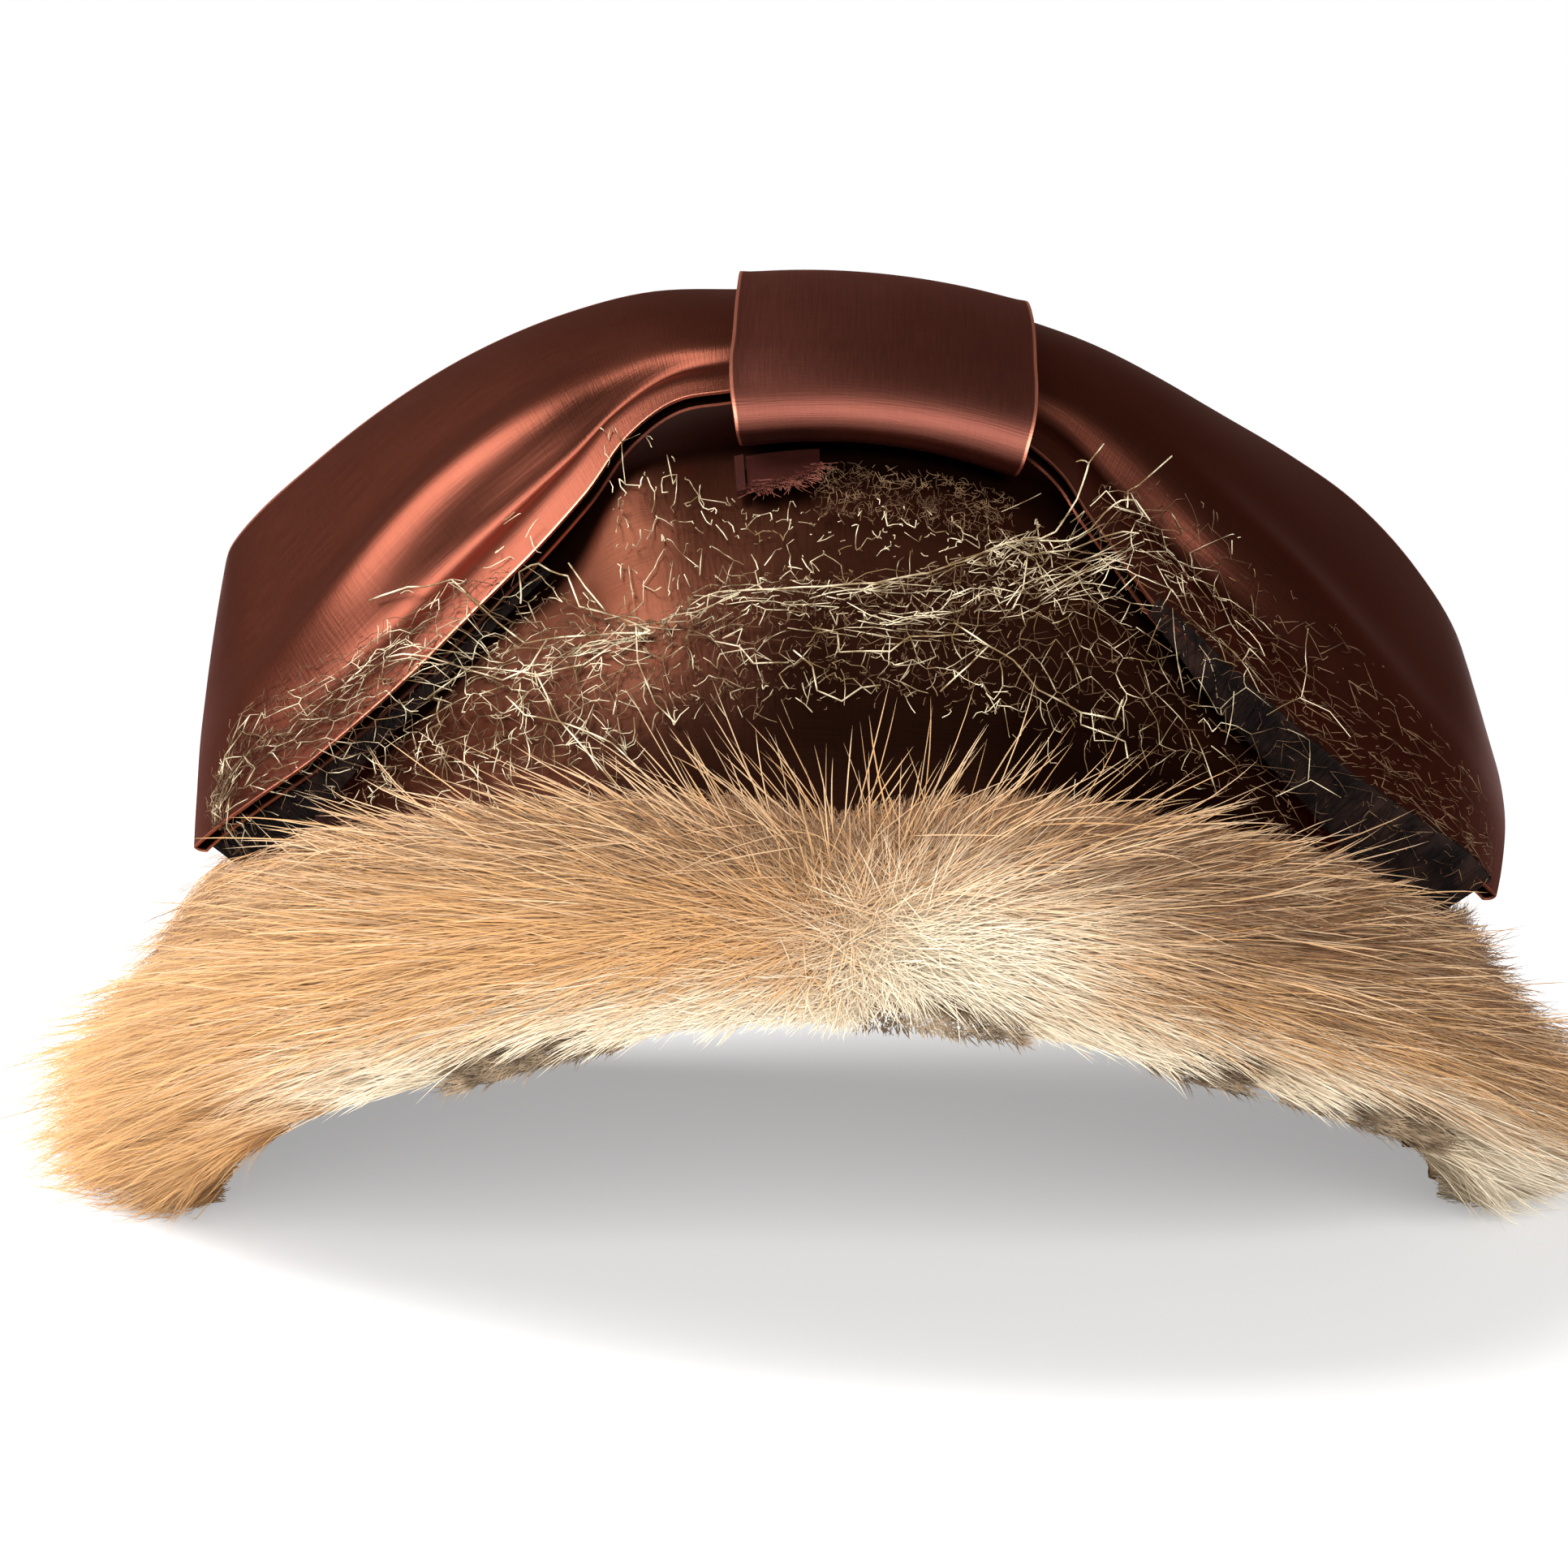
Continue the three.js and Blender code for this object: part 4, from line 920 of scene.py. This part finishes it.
def veil_layer(rows, seed, mesh_edge, more_torn):
    """The threads and knots of one layer of the net, as ends on the hat."""
    rng = np.random.default_rng(seed)
    knots = {}
    edges = []
    columns = int(VEIL_LENGTH / (mesh_edge * 1.5)) + 1
    lines = int(VEIL_DEPTH / (mesh_edge * math.sqrt(3))) + 1
    for m in range(columns):
        for n in range(lines):
            cx, cy = m * 1.5, (n + 0.5 * (m % 2)) * math.sqrt(3)
            ring = []
            for k in range(6):
                x, y = cx + math.cos(k * math.pi / 3), cy + math.sin(k * math.pi / 3)
                ring.append(knots.setdefault((round(x * 2), round(y * 4)), len(knots)))
            edges += [tuple(sorted((ring[k], ring[(k + 1) % 6]))) for k in range(6)]
    flat = np.array(list(knots), float) * [0.5, 0.25] * mesh_edge
    flat += rng.normal(0, 0.22, flat.shape) * mesh_edge
    p, q = flat[:, 0] / VEIL_LENGTH, flat[:, 1] / VEIL_DEPTH
    hover = 0.35 + 0.5 * rng.random(len(p)) ** 2 + 0.9 * (rng.random(len(p)) > 0.93)
    across, along, off = on_veil(rows, np.clip(p, 0, 1), np.clip(q, 0, 1), hover)
    across += rng.normal(0, 0.35, len(p))
    along += rng.normal(0, 0.45, len(p))
    spots = np.stack([across, along, off], axis=1)
    edges = np.array(sorted(set(edges)))
    torn = section(rows, np.clip(p, 0, 1))[6]
    rim = np.maximum(0, abs(q - ROPE_PLACE) * 2 - 0.75) * 1.2
    lost = rng.random(len(edges)) < (torn + rim + more_torn)[edges[:, 0]]
    inside = ((p > 0) & (p < 1) & (q > 0) & (q < 1))[edges].all(axis=1)
    kept = edges[~lost & inside]
    stub = edges[lost & inside]
    stub = stub[rng.random(len(stub)) < 0.55]
    ends = [spots[kept[:, 0]], spots[stub[:, 0]]]
    reach = rng.uniform(0.25, 0.6, (len(stub), 1))
    tips = between(spots[stub[:, 0]], spots[stub[:, 1]], reach)
    tips[:, 2] += rng.uniform(0, 0.8, len(stub))
    return np.concatenate(ends), np.concatenate([spots[kept[:, 1]], tips]), rng


def crooked(starts, ends, rng, bend, steps=4):
    """Slightly crooked threads between places given as across, along and height."""
    s = np.linspace(0, 1, steps)[None, :, None]
    line = starts[:, None] * (1 - s) + ends[:, None] * s
    line = line + rng.normal(0, bend, (len(starts), 1, 3)) * np.sin(math.pi * s)
    return on_crown(line[..., 0], line[..., 1], line[..., 2])


# Along the cream thread the bright patches are painted glints
VEIL_THREAD = thread_colour("cream_thread", (0.17, 0.11, 0.05), (0.8, 0.69, 0.48), 0.5)
FAINT_THREAD = thread_colour("faint_thread", (0.07, 0.035, 0.018), (0.21, 0.13, 0.07), 0.6)
veil_pieces = []
# name, rows, seed, mesh edge in metres, more torn away, thread width in mm
LAYERS = [
    ("veil_net", VEIL_ROWS, 41, 0.0028, 0.05, 0.13),
    ("veil_net_under", VEIL_ROWS, 42, 0.0021, 0.15, 0.1),
    ("veil_net_deep", VEIL_ROWS, 45, 0.0017, 0.45, 0.08),
    ("veil_scraps", SCRAP_ROWS, 44, 0.0042, 0.0, 0.13),
]
for name, rows, seed, mesh_edge, more_torn, wide in LAYERS:
    starts, ends, rng = veil_layer(rows, seed, mesh_edge, more_torn)
    paths = crooked(starts, ends, rng, 0.1, steps=3)
    wide = wide * rng.uniform(0.7, 1.3, len(starts))
    # Over the right side of the bow the net is browner and lies in the shade: its darker thread there
    # is partly its own brown and partly painted shade
    shade = (starts[:, 0] > 42) & (name == "veil_net")
    veil_pieces.append(thread_mesh(name, paths[~shade], wide[~shade]))
    if shade.any():
        veil_pieces.append(thread_mesh(name + "_shade", paths[shade], wide[shade]))

# Drawn threads run along the rope: how many, how far they spread in degrees, then their places
DRAWN = [
    (8, 1.1, [
        (-28.2, -33.4), (-24.6, -35.4), (-19.7, -36.8), (-14.6, -37.4), (-8.5, -37.3), (-2.6, -38.4),
        (3.4, -38.8), (8.4, -38.5), (13.4, -37.5), (18.2, -35.2), (22.7, -31), (27.4, -27),
    ]),
    (4, 0.45, [
        (-11.7, -35.9), (-6.4, -36.6), (-1.5, -36.8), (3.8, -36.4), (9, -34.8), (12.7, -32.7),
        (16.4, -29.6), (20, -27.4),
    ]),
    (6, 1.5, [
        (-55, -17), (-48, -21), (-43, -25), (-38.3, -28.4), (-35, -32.2), (-31.9, -34.6), (-27, -36.6),
        (-23.2, -37.1), (-19.5, -37.4),
    ]),
    (6, 2.2, [(16, -33), (20, -29.5), (25, -27.5), (30, -27.5), (36, -30), (42, -31.5)]),
]
rng = np.random.default_rng(43)
starts, ends = [], []
for count, spread, line in DRAWN:
    for _ in range(count * 6):
        a = rng.uniform(0, 0.93)
        b = min(1, a + rng.uniform(0.06, 0.16))
        (x0, y0), (x1, y1) = section(line, a), section(line, b)
        shift = rng.normal(0, spread, 2)
        turn = shift + rng.normal(0, 0.4 + 0.45 * spread, 2)
        starts.append((x0 + 0.3 * shift[0], y0 + shift[1], 0))
        ends.append((x1 + 0.3 * turn[0], y1 + turn[1], 0))
starts, ends = np.array(starts), np.array(ends)
for spots in (starts, ends):
    spots[:, 2] = height_over(spots[:, 0], spots[:, 1]) + rng.uniform(0.4, 1.7, len(spots))
veil_pieces.append(thread_mesh("veil_rope", crooked(starts, ends, rng, 0.35), 0.13))

# Long loose ends of unbroken meshes: width of the thread in mm, height of both ends, then places
LOOSE = [
    (0.22, 1.0, 2.0, [
        (-11.7, -35.9), (-6.4, -36.6), (-1.5, -36.8), (3.8, -36.4), (9.0, -34.8), (12.7, -32.7),
        (16.4, -29.6), (19.6, -27.6), (20.9, -26.0), (22.0, -23.0), (22.0, -20.8),
    ]),
    (0.18, 2.0, 3.0, [(22.0, -20.8), (20.9, -21.3)]),
    (0.18, 2.0, 3.0, [(22.0, -20.8), (23.0, -17.8)]),
    (0.2, 1.4, 1.4, [
        (19.6, -27.6), (21.4, -26.6), (23.8, -25.2), (25.5, -22.4), (26.9, -20.6), (28.5, -22.2),
    ]),
    (0.2, 1.4, 1.2, [(16.4, -29.6), (18.6, -30.0), (20.6, -28.4), (23.6, -26.2), (27.6, -24.9)]),
    (0.18, 1.2, 2.4, [(26.2, -22.6), (26.0, -20.6), (28.4, -16.8)]),
    (0.18, 1.2, 0.8, [(18.6, -29.7), (18.6, -33.5), (17.9, -35.7)]),
    (0.22, 0.8, 1.8, [
        (-19.5, -37.4), (-23.4, -33.9), (-25.9, -31.6), (-26.3, -27.7), (-28.4, -25.8), (-30.2, -25.9),
        (-31.2, -27.9),
    ]),
    (0.2, 1.4, 2.0, [(-23.4, -33.9), (-24.8, -30.4), (-25.8, -27.0)]),
    (0.2, 0.8, 0.8, [
        (-19.5, -37.4), (-23.2, -37.1), (-27.0, -37.1), (-31.9, -35.1), (-35.0, -32.2), (-37.9, -29.2),
        (-43.0, -28.2),
    ]),
    (0.22, 0.8, 1.0, [
        (-19.5, -37.7), (-24.6, -35.4), (-28.2, -33.4), (-32.1, -31.4), (-34.8, -25.9), (-36.0, -22.3),
        (-40.0, -18.6), (-43.3, -17.0),
    ]),
    (0.2, 1.0, 1.4, [(-44.0, -23.6), (-39.3, -28.0), (-35.3, -33.4), (-32.4, -34.4), (-29.8, -33.0)]),
    (0.18, 0.8, 0.8, [(-20.8, -36.3), (-21.4, -39.7), (-20.6, -43.7), (-18.9, -45.8)]),
    (0.18, 0.8, 0.8, [(-13.1, -40.2), (-10.6, -41.1), (-9.3, -42.8), (-5.5, -43.1)]),
    (0.2, 0.8, 1.0, [
        (-2.7, -40.3), (-0.1, -40.8), (0.1, -42.5), (5.6, -42.2), (7.6, -40.7), (10.2, -40.3),
        (13.3, -39.5),
    ]),
    (0.22, 0.8, 1.0, [
        (12.1, -38.6), (16.0, -39.9), (18.8, -40.4), (22.0, -41.9), (27.2, -41.7), (31.0, -40.4),
        (31.1, -38.4),
    ]),
    (0.18, 1.0, 1.0, [(27.2, -41.7), (27.5, -42.7), (32.7, -41.6), (33.6, -42.7)]),
    (0.18, 0.8, 1.2, [(16.0, -39.9), (14.2, -42.1), (11.4, -44.9)]),
    (0.2, 0.8, 1.0, [
        (-4.9, -42.1), (-2.9, -43.6), (-2.5, -45.6), (0.3, -46.5), (2.5, -45.4), (4.7, -45.1),
    ]),
    (0.2, 0.8, 1.2, [(-32.0, -34.7), (-31.2, -40.3), (-29.3, -44.5), (-27.4, -48.3)]),
    (0.2, 0.8, 1.2, [(-35.6, -34.8), (-34.4, -37.8), (-30.3, -41.3), (-26.4, -44.9), (-22.9, -49.8)]),
    (0.11, 1.2, 1.8, [(44.5, -30.5), (46.5, -26.5), (46.2, -23.0), (44.6, -20.0)]),
    (0.11, 1.2, 1.8, [(46.5, -26.5), (49.5, -24.5), (52.0, -24.8)]),
    (0.11, 1.0, 1.8, [(50.0, -33.0), (51.5, -30.0), (54.5, -28.8)]),
    (0.11, 1.0, 1.0, [(51.5, -30.0), (49.0, -28.8), (46.8, -29.8)]),
]
for n, (wide, low, high, line) in enumerate(LOOSE):
    # The thread keeps straight between its knots
    knots, steps = np.array(line), np.linspace(0, len(line) - 1, len(line) * 3 - 2)
    across = np.interp(steps, np.arange(len(line)), knots[:, 0])
    along = np.interp(steps, np.arange(len(line)), knots[:, 1])
    off = height_over(across, along) + np.linspace(low, high, len(across))
    path = on_crown(across, along, off)[None]
    veil_pieces.append(thread_mesh(f"veil_loose_{n + 1}", path, wide, sides=5))

# Broken ends: short bent threads, many fine ones close under the knot
# how many, across from, to, along from, to, length in degrees, width
SCRAPS = [
    (520, -2, 17, -29, -22.5, 0.9, 0.07),
    (50, -24, 32, -47, -42, 1.8, 0.1),
    (60, -58, -28, -34, -18, 1.3, 0.12),
    (130, -45, -23, -48, -33, 2.2, 0.12),
]
for n, (count, x0, x1, y0, y1, length, wide) in enumerate(SCRAPS):
    rng = np.random.default_rng(50 + n)
    starts = np.stack([rng.uniform(x0, x1, count), rng.uniform(y0, y1, count), np.zeros(count)], axis=1)
    turn = rng.uniform(0, 2 * math.pi, count)
    way = np.stack([np.cos(turn), np.sin(turn), 0 * turn], axis=1)
    ends = starts + way * length * rng.uniform(0.5, 1.5, (count, 1))
    for spots in (starts, ends):
        spots[:, 2] = height_over(spots[:, 0], spots[:, 1]) + rng.uniform(0.25, 1.3, count)
    veil_pieces.append(thread_mesh(f"veil_ends_{n + 1}", crooked(starts, ends, rng, 0.3), wide))

for piece in veil_pieces:
    # The faint brown thread goes on the lower layers, and as painted shade on the net over the shaded right
    # side and on the fine ends in the shadow under the knot
    faint = piece.name in ("veil_net_shade", "veil_net_under", "veil_net_deep", "veil_ends_1")
    piece.data.materials.append(FAINT_THREAD if faint else VEIL_THREAD)
    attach(piece, "root")
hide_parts("veil")


# Studio
# A pale floor, one wide soft lamp high on the left as the bright folds show, and a weaker one in
# front. The camera looks a little down on the front of the hat.
bpy.ops.mesh.primitive_plane_add(size=6)
floor = bpy.context.object
floor.name = "floor"
floor.select_set(False)
pale, tree, shader = new_material("pale_floor")
feed(tree, shader, {"Base Color": (0.86, 0.86, 0.86, 1), "Roughness": 0.9})
# Seen by the camera the floor glows white: away from the hat it runs out into white paper with no
# horizon, and near the hat a weaker glow is painted light that lightens the hat's shadow
floor_place = add_node(tree, "TexCoord").outputs["Object"]
floor_reach = add_node(tree, "VectorMath", {0: floor_place}, operation="LENGTH").outputs["Value"]
fading = {"Value": floor_reach, "From Min": 0.1, "From Max": 0.5, "To Min": 0.35}
floor_fade = add_node(tree, "MapRange", fading, interpolation_type="SMOOTHSTEP").outputs["Result"]
floor_seen = add_node(tree, "LightPath").outputs["Is Camera Ray"]
floor_share = add_node(tree, "Math", {0: floor_fade, 1: floor_seen}, operation="MULTIPLY").outputs[0]
white = add_node(tree, "Emission").outputs["Emission"]
floor_mix = add_node(tree, "MixShader", {"Fac": floor_share, 1: shader.outputs["BSDF"], 2: white})
feed(tree, tree.nodes["Material Output"], {"Surface": floor_mix.outputs["Shader"]})
floor.data.materials.append(pale)

world = bpy.data.worlds.new("studio")
bpy.context.scene.world = world
world.use_nodes = True
tree = world.node_tree
surround = feed(tree, tree.nodes["Background"], {"Color": (1, 0.87, 0.79, 1), "Strength": 0.17})
# The empty studio behind the hat is seen as white paper, and gives only a little light itself
paper = add_node(tree, "Background", {"Color": (1, 1, 1, 1), "Strength": 1.0}).outputs["Background"]
seen = add_node(tree, "LightPath").outputs["Is Camera Ray"]
either = add_node(tree, "MixShader", {"Fac": seen, 1: surround.outputs["Background"], 2: paper})
feed(tree, tree.nodes["World Output"], {"Surface": either.outputs["Shader"]})


def soft_lamp(name, place, wide, high, power):
    bpy.ops.object.light_add(type="AREA", location=place)
    lamp = bpy.context.object
    lamp.name = name
    lamp.data.shape = "RECTANGLE"
    lamp.data.size = wide
    lamp.data.size_y = high
    lamp.data.energy = power
    lamp.rotation_euler = (Vector((0, 0, 0.08)) - Vector(place)).to_track_quat("-Z", "Y").to_euler()
    lamp.select_set(False)


soft_lamp("window_lamp", (-0.62, 0.05, 0.68), 0.5, 0.85, 18)
soft_lamp("front_lamp", (0.15, -1.05, 0.6), 0.9, 0.5, 20)


bpy.ops.object.camera_add(location=(-0.0061, -0.3708, 0.1327), rotation=(math.radians(78), 0, 0))
camera = bpy.context.object
camera.name = "camera"
camera.data.sensor_width = 36
camera.data.lens = 68.42
camera.data.clip_start = 0.01
camera.select_set(False)
bpy.context.scene.camera = camera
# Colours are shown as they are, so that the dark satin keeps its depth
bpy.context.scene.view_settings.view_transform = "Standard"
